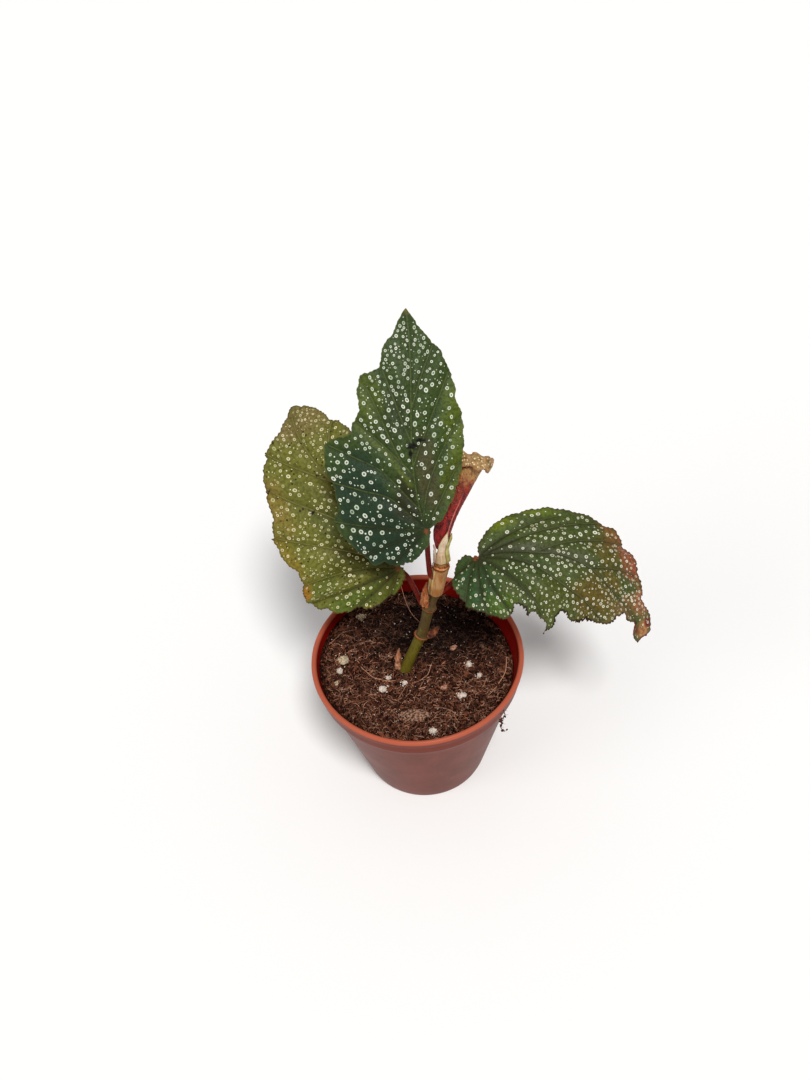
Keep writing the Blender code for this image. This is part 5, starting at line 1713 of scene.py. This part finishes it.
# %% The finishes of a leaf's two sides
def upper_finish(name, look):
    """Body colour, washes, bands, the veins' painted shade and highlight, margin and spots, laid over each
    other in that order.
    """
    finish = Finish(f"leaf {name} upper side", 0.14)
    place = finish.plan_place()
    ragged = finish.noise(place, 5, 3)
    mottle = finish.noise(place, 0.9, 5)
    colour = look["body"]
    for centre, reach, wash, strength in look["washes"]:
        colour = finish.mix(finish.patch(place, centre, reach, ragged) * strength, colour, paint(*wash))
    vein = finish.attribute("vein_mm")
    margin = finish.attribute("margin_mm")
    shade = finish.step(finish.attribute("vein_side"), -0.2, 0.7)
    # The band is a tint along a vein on leaf A, painted shadow of leaf A on leaf B and a painted grey sheen
    # on leaf C.
    band_colour, band_width, band_share = look["band"]
    band = finish.step(finish.attribute("band_mm") + (ragged - 0.5) * band_width, band_width * 0.6, 0.1)
    colour = finish.mix(band * band_share, colour, band_colour)
    colour = finish.over(colour, look["deep"], 0.5, mottle, 0.4, 0.66)
    # Painted shade beside the veins, deeper within the leaf's oval where the veins' shade is painted darker.
    sunk = finish.patch(place, *look["vein_shade_zone"], ragged)
    colour = finish.mix(finish.step(vein, 1.7, 0.1) * (0.3 + sunk * 0.35), colour, look["deep"])
    # Painted shade in each vein's groove, strongest on its side away from the light.
    groove = finish.step(vein, 0.5, 0.1) * (0.4 + shade * 0.6) * (0.8 + sunk * 0.15)
    colour = finish.mix(groove, colour, look["vein"])
    # A pale line on each vein's lit side: the vein's own paler colour and a painted highlight.
    line = finish.step(vein, 0.34, 0.04) * (1 - shade * 0.8) * finish.step(mottle, 0.25, 0.6)
    colour = finish.mix(line * (1 - sunk * 0.85) * look["rib_share"], colour, look["rib"])
    rim = finish.step(margin + mottle * 0.6, 0.75, 0.3)
    colour = finish.mix(rim * look["edge_share"], colour, look["edge"])
    torn = finish.step(finish.attribute("torn") * 0.8 - margin, 0, 0.5)
    colour = finish.mix(torn * 0.9, colour, SPECK_DARK)
    if look["speckle"]:
        speck = finish.step(finish.cells(place, 1.5, "F1"), 0.26, 0.17) * finish.step(ragged, 0.44, 0.56)
        colour = finish.mix(speck * look["speckle"], colour, SPECK_DARK)
    stalk_end = finish.patch(place, (0, -0.2), (0.75, 0.95), mottle)
    colour = finish.mix(stalk_end * 0.8, colour, STALK_MARK)
    wobble = (finish.noise(place, 0.35, 2) - 0.5) * 0.3
    spot = finish.attribute("spot") + wobble
    heart = finish.attribute("ring") * finish.step(spot, 0.58, 0.34)
    mask = finish.step(spot, 1.04, 0.8) * (1 - heart * 0.85)
    cream = finish.mix(finish.step(finish.noise(place, 6), 0.35, 0.7), *look["cream"])
    colour = finish.mix(mask * finish.attribute("spot_tone"), colour, cream)
    for centre, reach in look["stains"]:
        colour = finish.mix(finish.patch(place, centre, reach, mottle), colour, STAIN_BLACK)
    net = finish.step(finish.cells(place, 0.75), 0, 0.28)
    relief = finish.bump(net, 0.04, finish.bump(mottle, 0.12, finish.bump(mask, 0.03)))
    return finish.shade(colour, 0.38 + mottle * 0.2, relief)


def under_finish():
    """Dark red, mottled with brown, and paler along the veins."""
    finish = Finish("leaf underside", 0.25)
    place = finish.solid_place()
    mottle = finish.noise(place, 1.6, 4)
    vein = finish.attribute("vein_mm")
    colour = finish.over(UNDERSIDE_RED, UNDERSIDE_BROWN, 0.5, mottle, 0.4, 0.7)
    colour = finish.over(colour, UNDERSIDE_PALE, 0.7, vein, 0.7, 0.15)
    return finish.shade(colour, 0.45 + mottle * 0.15, finish.bump(mottle, 0.08))


leaf_under = under_finish()
leaf_upper = {name: upper_finish(name, look) for name, look in LEAF_LOOKS.items()}
print("upper finishes:", {name: f"{len(finish.tree.nodes)} nodes" for name, finish in leaf_upper.items()})


# %% Making the leaves
def make_leaf(name, slot):
    """A leaf with its two sides, its ribs underneath, and the numbers that its finish reads."""
    leaf = LEAVES[name]
    blade = Blade(leaf)
    outline, torn = toothed_margin(leaf)
    loop = np.concatenate((outline, outline[:1]))
    spots = scatter_spots(blade, outline, loop)
    plan, faces = triangulate_plan(blade, outline, loop, spots)
    nearest = blade.vein_distance(plan)
    _, shade_side = blade.vein_course(plan)
    band = np.min([distance_to(plan, smooth_path(line, 0.8)) for line in leaf["bands"]], axis=0)
    closest = [np.argmin(np.hypot(outline[:, 0] - x, outline[:, 1] - y)) for x, y in plan]
    margin = distance_to(plan, loop)
    from_stalk = np.hypot(*plan.T)
    depth = blend(EDGE_THICKNESS, BLADE_THICKNESS, step_between(margin, 0, 1.6))
    taper = 1 - 0.75 * step_between(from_stalk, 4, 52)
    rib = RIB_HEIGHT * hump(nearest, RIB_WIDTH) * taper * step_between(margin, 0.2, 2)
    both_sides = np.concatenate((blade.lay(plan), blade.lay(plan, depth + rib)))
    spot, ring, spot_tone = spot_values(plan, spots)
    solid, marks = close_sheet(faces, len(plan))
    values = {
        "vein_mm": nearest, "vein_side": shade_side, "band_mm": band, "margin_mm": margin,
        "torn": torn[closest], "spot": spot, "ring": ring, "spot_tone": spot_tone,
    }
    values = {key: np.tile(numbers, 2) for key, numbers in values.items()}
    make_piece(f"spotted_leaf_{name}", both_sides, solid, [leaf_upper[name], leaf_under], marks, values,
               np.tile(plan, (2, 1)), 60, slot, [f"leaf_{name}"])


make_leaf("A", "leaf_green")
make_leaf("B", "leaf_olive")
make_leaf("C", "leaf_dark")

# %% [markdown]
# ## The new leaf
# The youngest leaf is still rolled like a cigar, with its crimson underside outwards. Its far end has
# begun to open, and there the tan upper side folds out as a bumpy cuff. It is a sheet over a profile that
# is carried along the shoot's middle line. Its two margins roll inwards at the back, as they do on the
# plant, and a pale rib runs up the front.

# %% The shoot's middle line
SHOOT = ((9.5, 0, 89.8), (8.9, 2.9, 105.9), (12.9, 3.6, 105.6), (21.4, 14.2, 118.8))
VIEW_SIDE = np.array((0.0, -0.74, 0.67))
ROLL_PROFILE = (
    (6.2, 1.5), (8, 1.95), (10, 2.4), (13, 2.6), (17, 2.7), (21, 2.8), (25, 3),
    (28.5, 3.25), (31.5, 3.65), (33.4, 4.15), (34.5, 4.7), (34.4, 5.2), (33.2, 5.4), (31.4, 5.3),
)
ROLL_MIDDLE = 30.0
ROLL_SPREAD = 150.0
CUFF_TILT = 0.7
CUFF_WAVE = 0.45
CUFF_WAVES = 7
ROLL_THICKNESS = 0.42
ROLL_COLUMNS = 110
ROLL_STEP = 0.4
ROLLED_FROM = 0.72
ROLL_IN = 0.34
ROLL_TURN = 16
RIB_TURN = 42
RIB_LEAN = 14
RIDGE_HEIGHT = 0.2
RIDGE_WIDTH = 0.35
shoot_line = curve_point([np.array(point) for point in SHOOT], np.linspace(0, 1, 201)[:, None])
shoot_reach = lengths_along(shoot_line)
print(f"the shoot is {shoot_reach[-1]:.1f} mm long")


def round_point(reach, radius, turn):
    """A place round the shoot's middle line: its distance along, its distance out and its turn."""
    i = int(np.clip(np.searchsorted(shoot_reach, reach), 1, len(shoot_line) - 1))
    along = unit(shoot_line[i] - shoot_line[i - 1])
    middle = shoot_line[i - 1] + along * (reach - shoot_reach[i - 1])
    view = square_to(VIEW_SIDE, along)
    right = np.cross(along, view)
    return middle + (view * cos(radians(turn)) + right * sin(radians(turn))) * radius


# %% The new leaf's finishes
CRIMSON = paint(146, 18, 12)
CRIMSON_DARK = paint(62, 8, 10)
CRIMSON_BROWN = paint(128, 46, 20)
ROLL_OLIVE = paint(170, 128, 74)
MIDRIB_PINK = paint(206, 120, 104)
RIB_MAUVE = paint(122, 34, 44)
CUFF_TAN = paint(172, 134, 88)
CUFF_OLIVE = paint(112, 82, 36)
CUFF_SPOT = paint(228, 202, 150)


def crimson_finish():
    """The outside of the roll: crimson with dark streaks, browner upwards, with a pink midrib."""
    finish = Finish("new leaf underside", 0.3, {"Coat Weight": 0.05, "Coat Roughness": 0.25})
    place = finish.solid_place()
    reach = finish.attribute("reach_mm")
    mottle = finish.noise(place, 1.3, 4)
    streaks = finish.noise(place, 0.9, 4, (1, 1, 0.22))
    cells = finish.step(finish.cells(place, 1), 0, 0.25)
    colour = finish.over(CRIMSON, CRIMSON_DARK, 0.85, streaks, 0.42, 0.62)
    rib = finish.attribute("rib_mm")
    right_side = finish.step(finish.attribute("rib_side"), -0.1, 0.3)
    browner = finish.step(reach + (mottle - 0.5) * 10, 15, 26) * (1 - right_side * 0.7)
    colour = finish.mix(browner * 0.85, colour, CRIMSON_BROWN)
    colour = finish.over(colour, ROLL_OLIVE, 0.9, reach + (mottle - 0.5) * 8, 25, 30)
    colour = finish.over(colour, CRIMSON_DARK, 0.5, streaks, 0.5, 0.66)
    mauve = finish.step(rib, 2.2, 0.8) * right_side * finish.step(reach, 26, 20)
    colour = finish.mix(mauve * 0.55, colour, RIB_MAUVE)
    line = finish.step(rib, 0.22, 0.08) * finish.step(reach, 25, 18)
    colour = finish.mix(line * 0.8, colour, MIDRIB_PINK)
    relief = finish.bump(cells, 0.1, finish.bump(streaks, 0.15))
    return finish.shade(colour, 0.36 + mottle * 0.18, relief)


def cuff_finish():
    """The upper side that shows at the cuff: tan with pale pimples, and painted shade that darkens it inside
    the roll.
    """
    finish = Finish("new leaf upper side", 0.3)
    place = finish.solid_place()
    mottle = finish.noise(place, 1.4, 4)
    colour = finish.mix(finish.step(mottle, 0.35, 0.68), CUFF_TAN, CUFF_OLIVE)
    pimple = finish.step(finish.cells(place, 0.8, "F1"), 0.44, 0.22)
    colour = finish.mix(pimple * 0.9, colour, CUFF_SPOT)
    colour = finish.over(colour, CRIMSON_BROWN, 0.6, finish.attribute("edge_mm"), 0.8, 0.1)
    # Painted shade: deeper inside the roll the upper side is painted dark crimson.
    colour = finish.over(colour, CRIMSON_DARK, 0.8, finish.attribute("reach_mm"), 31, 24)
    return finish.shade(colour, 0.5 + mottle * 0.15, finish.bump(pimple, 0.16))


roll_finishes = [crimson_finish(), cuff_finish()]
print("the roll's finishes:", ", ".join(finish.material.name for finish in roll_finishes))


# %% Rolling the new leaf
def make_new_leaf():
    """The rolled leaf: its profile is turned round the shoot's line, with waves, a rib and bumps."""
    profile = smooth_path(ROLL_PROFILE, ROLL_STEP)
    outer, inner = [], []
    values = {"reach_mm": [], "rib_mm": [], "rib_side": [], "edge_mm": []}
    for i, (reach, wide) in enumerate(profile):
        along = unit(profile[min(i + 1, len(profile) - 1)] - profile[max(i - 1, 0)])
        under = np.array((along[1], -along[0])) * ROLL_THICKNESS
        part = i / len(profile)
        inward = 1 - part**3
        for share in np.linspace(-1, 1, ROLL_COLUMNS):
            turn = ROLL_MIDDLE + ROLL_SPREAD * share
            rolled = float(step_between(abs(share), ROLLED_FROM, 1))
            rise = CUFF_TILT * part**2 * sin(radians(turn))
            rise += CUFF_WAVE * part**4 * sin(CUFF_WAVES * pi * share)
            jag = 0.3 * bump_at(share * 26, 0, 2) * float(step_between(part, 0.9, 1))
            rib_turn = RIB_TURN - RIB_LEAN * (reach - 8) / 16
            rib_gap = abs(radians(turn - rib_turn)) * wide
            ridge = RIDGE_HEIGHT * hump(rib_gap, RIDGE_WIDTH) * float(step_between(reach, 27, 20))
            bumps = 0.1 * bump_at(share * 14, reach * 0.9, 1.0)
            bumps += 0.05 * bump_at(share * 40, reach * 2.4, 4.0)
            radius = wide * (1 - ROLL_IN * rolled * inward) - 0.06 + ridge + bumps
            turn_in = turn + np.sign(share) * ROLL_TURN * rolled * inward
            outer.append(round_point(reach + rise + jag, radius, turn_in))
            inner.append(round_point(reach + under[0] + rise + jag, radius + under[1], turn_in))
            values["reach_mm"].append(reach)
            values["rib_mm"].append(rib_gap)
            values["rib_side"].append(float(np.clip((turn - rib_turn) / 6, -1, 1)))
            to_side = (1 - abs(share)) * radians(ROLL_SPREAD) * wide
            values["edge_mm"].append(min((len(profile) - 1 - i) * ROLL_STEP, to_side))
    make_sheet("rolled_new_leaf", len(profile), ROLL_COLUMNS, outer, inner, values, roll_finishes, "new_leaf",
               ["leaf_D"], 60)


make_new_leaf()

# %% [markdown]
# ## The stipules
# Three pale scales stand round the foot of the new leaf, which came out between them. Each is thin and
# lets some light through, so its finish has a little subsurface scattering. It is a pointed sheet, bent
# round the shoot and a bit away from it at its free edges.

# %% Making the stipules
STIPULE_START = (1.9, 1.75)
STIPULE_CLEAR = 0.25
STIPULE_OUTER = 0.22
STIPULE_GRID = (44, 31)
STIPULE_THICKNESS = (0.38, 0.16)
KEEL_HEIGHT = 0.14
STIPULES = {
    "stipule_front": (-4, 28, 42, 13, (208, 180, 148), (226, 206, 180), (150, 120, 62)),
    "stipule_right": (66, 54, 36, 12.4, (176, 164, 88), (214, 204, 146), (128, 108, 40)),
    "stipule_left": (-76, -60, 34, 7.8, (232, 218, 196), (246, 238, 222), (166, 108, 60)),
}


def stipule_finish(name, body, pale, dark):
    """Pale and a little see-through, with fine veins, and yellow-brown towards the foot."""
    finish = Finish(name, 0.25, {"Subsurface Weight": 0.25, "Subsurface Scale": MM})
    place = finish.solid_place()
    height = finish.height(place)
    streaks = finish.noise(place, 0.55, 4, (1, 1, 0.1))
    cloudy = finish.noise(place, 1.8, 3)
    colour = finish.mix(finish.step(cloudy, 0.35, 0.7), body, pale)
    colour = finish.over(colour, dark, 0.75, height + (cloudy - 0.5) * 5, 98, 90.5)
    colour = finish.over(colour, dark, 0.5, streaks, 0.5, 0.68)
    colour = finish.over(colour, dark, 0.8, finish.attribute("edge_mm"), 0.22, 0.04)
    return finish.shade(colour, 0.4 + streaks * 0.3, finish.bump(streaks, 0.05))


def roll_radius(reach):
    """The radius of what stands inside the stipules at a distance along the shoot."""
    line = np.array((STIPULE_START,) + ROLL_PROFILE[:10])
    return float(np.interp(reach, line[:, 0], line[:, 1]))


def make_stipule(node, seed):
    """A pointed scale. Its row holds its turn at foot and tip, its half width, its height and its colours."""
    foot_turn, tip_turn, spread, end, *look = STIPULES[node]
    outermost = STIPULE_OUTER if node == "stipule_right" else 0.0
    rows, columns = STIPULE_GRID
    outer, inner, edge = [], [], []
    for i in range(rows):
        part = i / (rows - 1)
        reach = blend(STIPULE_START[0], end, part)
        half = spread * max(1 - part**2.2, 0.05) * (1 + 0.05 * bump_at(part * 12, seed, 0.0))
        base = roll_radius(reach) + STIPULE_CLEAR + outermost
        middle = blend(foot_turn, tip_turn, part)
        for k in range(columns):
            side = 2 * k / (columns - 1) - 1
            lift = 0.16 * abs(side) ** 3 + 0.1 * bump_at(part * 4, side * 2, seed * 3.0)
            keel = KEEL_HEIGHT * hump(side, 0.14) * (1 - part)
            thick = blend(*STIPULE_THICKNESS, max(abs(side) ** 2, part**3))
            turn = middle + half * side
            outer.append(round_point(reach, base + lift + keel + thick, turn))
            inner.append(round_point(reach, base + lift, turn))
            edge.append(min((1 - abs(side)) * radians(half) * base, (1 - part) * (end - STIPULE_START[0])))
    finish = stipule_finish(node.replace("_", " "), *(paint(*colour) for colour in look))
    make_sheet(f"pale_{node}", rows, columns, outer, inner, {"edge_mm": edge}, [finish],
               "stipule", [node], 60)


for seed, node in enumerate(STIPULES):
    make_stipule(node, seed + 2)

# %% [markdown]
# ## A string of crumbs
# A rootlet has crept out under the rim on the right, clings to the collar's edge and hangs down from it
# with a few crumbs of peat. It starts at the wall's own radius, so it hangs from the pot from every side.

# %% Making the string of crumbs
STRING_TURN = -41.0
STRING_PLACES = (
    (46, 0, 31.4), (44.5, -0.6, 32.3), (42, 0.4, 31.6), (40, -0.3, 30.5), (37.6, 0.8, 30.7),
    (35.6, 0.2, 30.3), (33.8, 1.4, 30.8), (32.6, 2.6, 30.5), (31.8, 3.6, 31),
)


def make_crumb_string():
    """The rootlet, the crumbs on it and a few side threads."""
    draw = np.random.default_rng(71)
    places = []
    for height, shift, radius in STRING_PLACES:
        turn = radians(STRING_TURN + shift)
        places.append((radius * cos(turn), radius * sin(turn), height))
    path = smooth_path(places, 0.5)
    shells = [fibre_shell(path, 0.14, 0.3, 6)]
    for i, place in enumerate(path[8:]):
        for _ in range(int(draw.choice((0, 1, 1, 3)))):
            size = draw.uniform(0.16, 0.5)
            middle = place + draw.normal(0, 0.25, 3)
            reach = (size, size * 0.8, size * 0.7)
            shells.append((*blob(middle, reach, draw.uniform(0, 6), i, 1, 0.3), draw.uniform(0, 0.5)))
    for i in range(0, len(path) - 6, 5):
        away = (draw.uniform(0.4, 1.4), draw.uniform(-0.6, 0.6), draw.uniform(-1.0, 0.4))
        side = path[i] + np.array(away)
        shells.append(fibre_shell(smooth_path((path[i], blend(path[i], side, 0.6), side), 0.4), 0.06, 0.2))
    make_loose("crumb_string", shells, crumb_finish)


make_crumb_string()

# %% [markdown]
# ## Counting the faces
# The last cell adds up the faces of all the pieces that were made.

# %% Counting the faces
bpy.context.view_layer.update()
print("faces in all:", sum(len(piece.data.polygons) for piece in pieces))
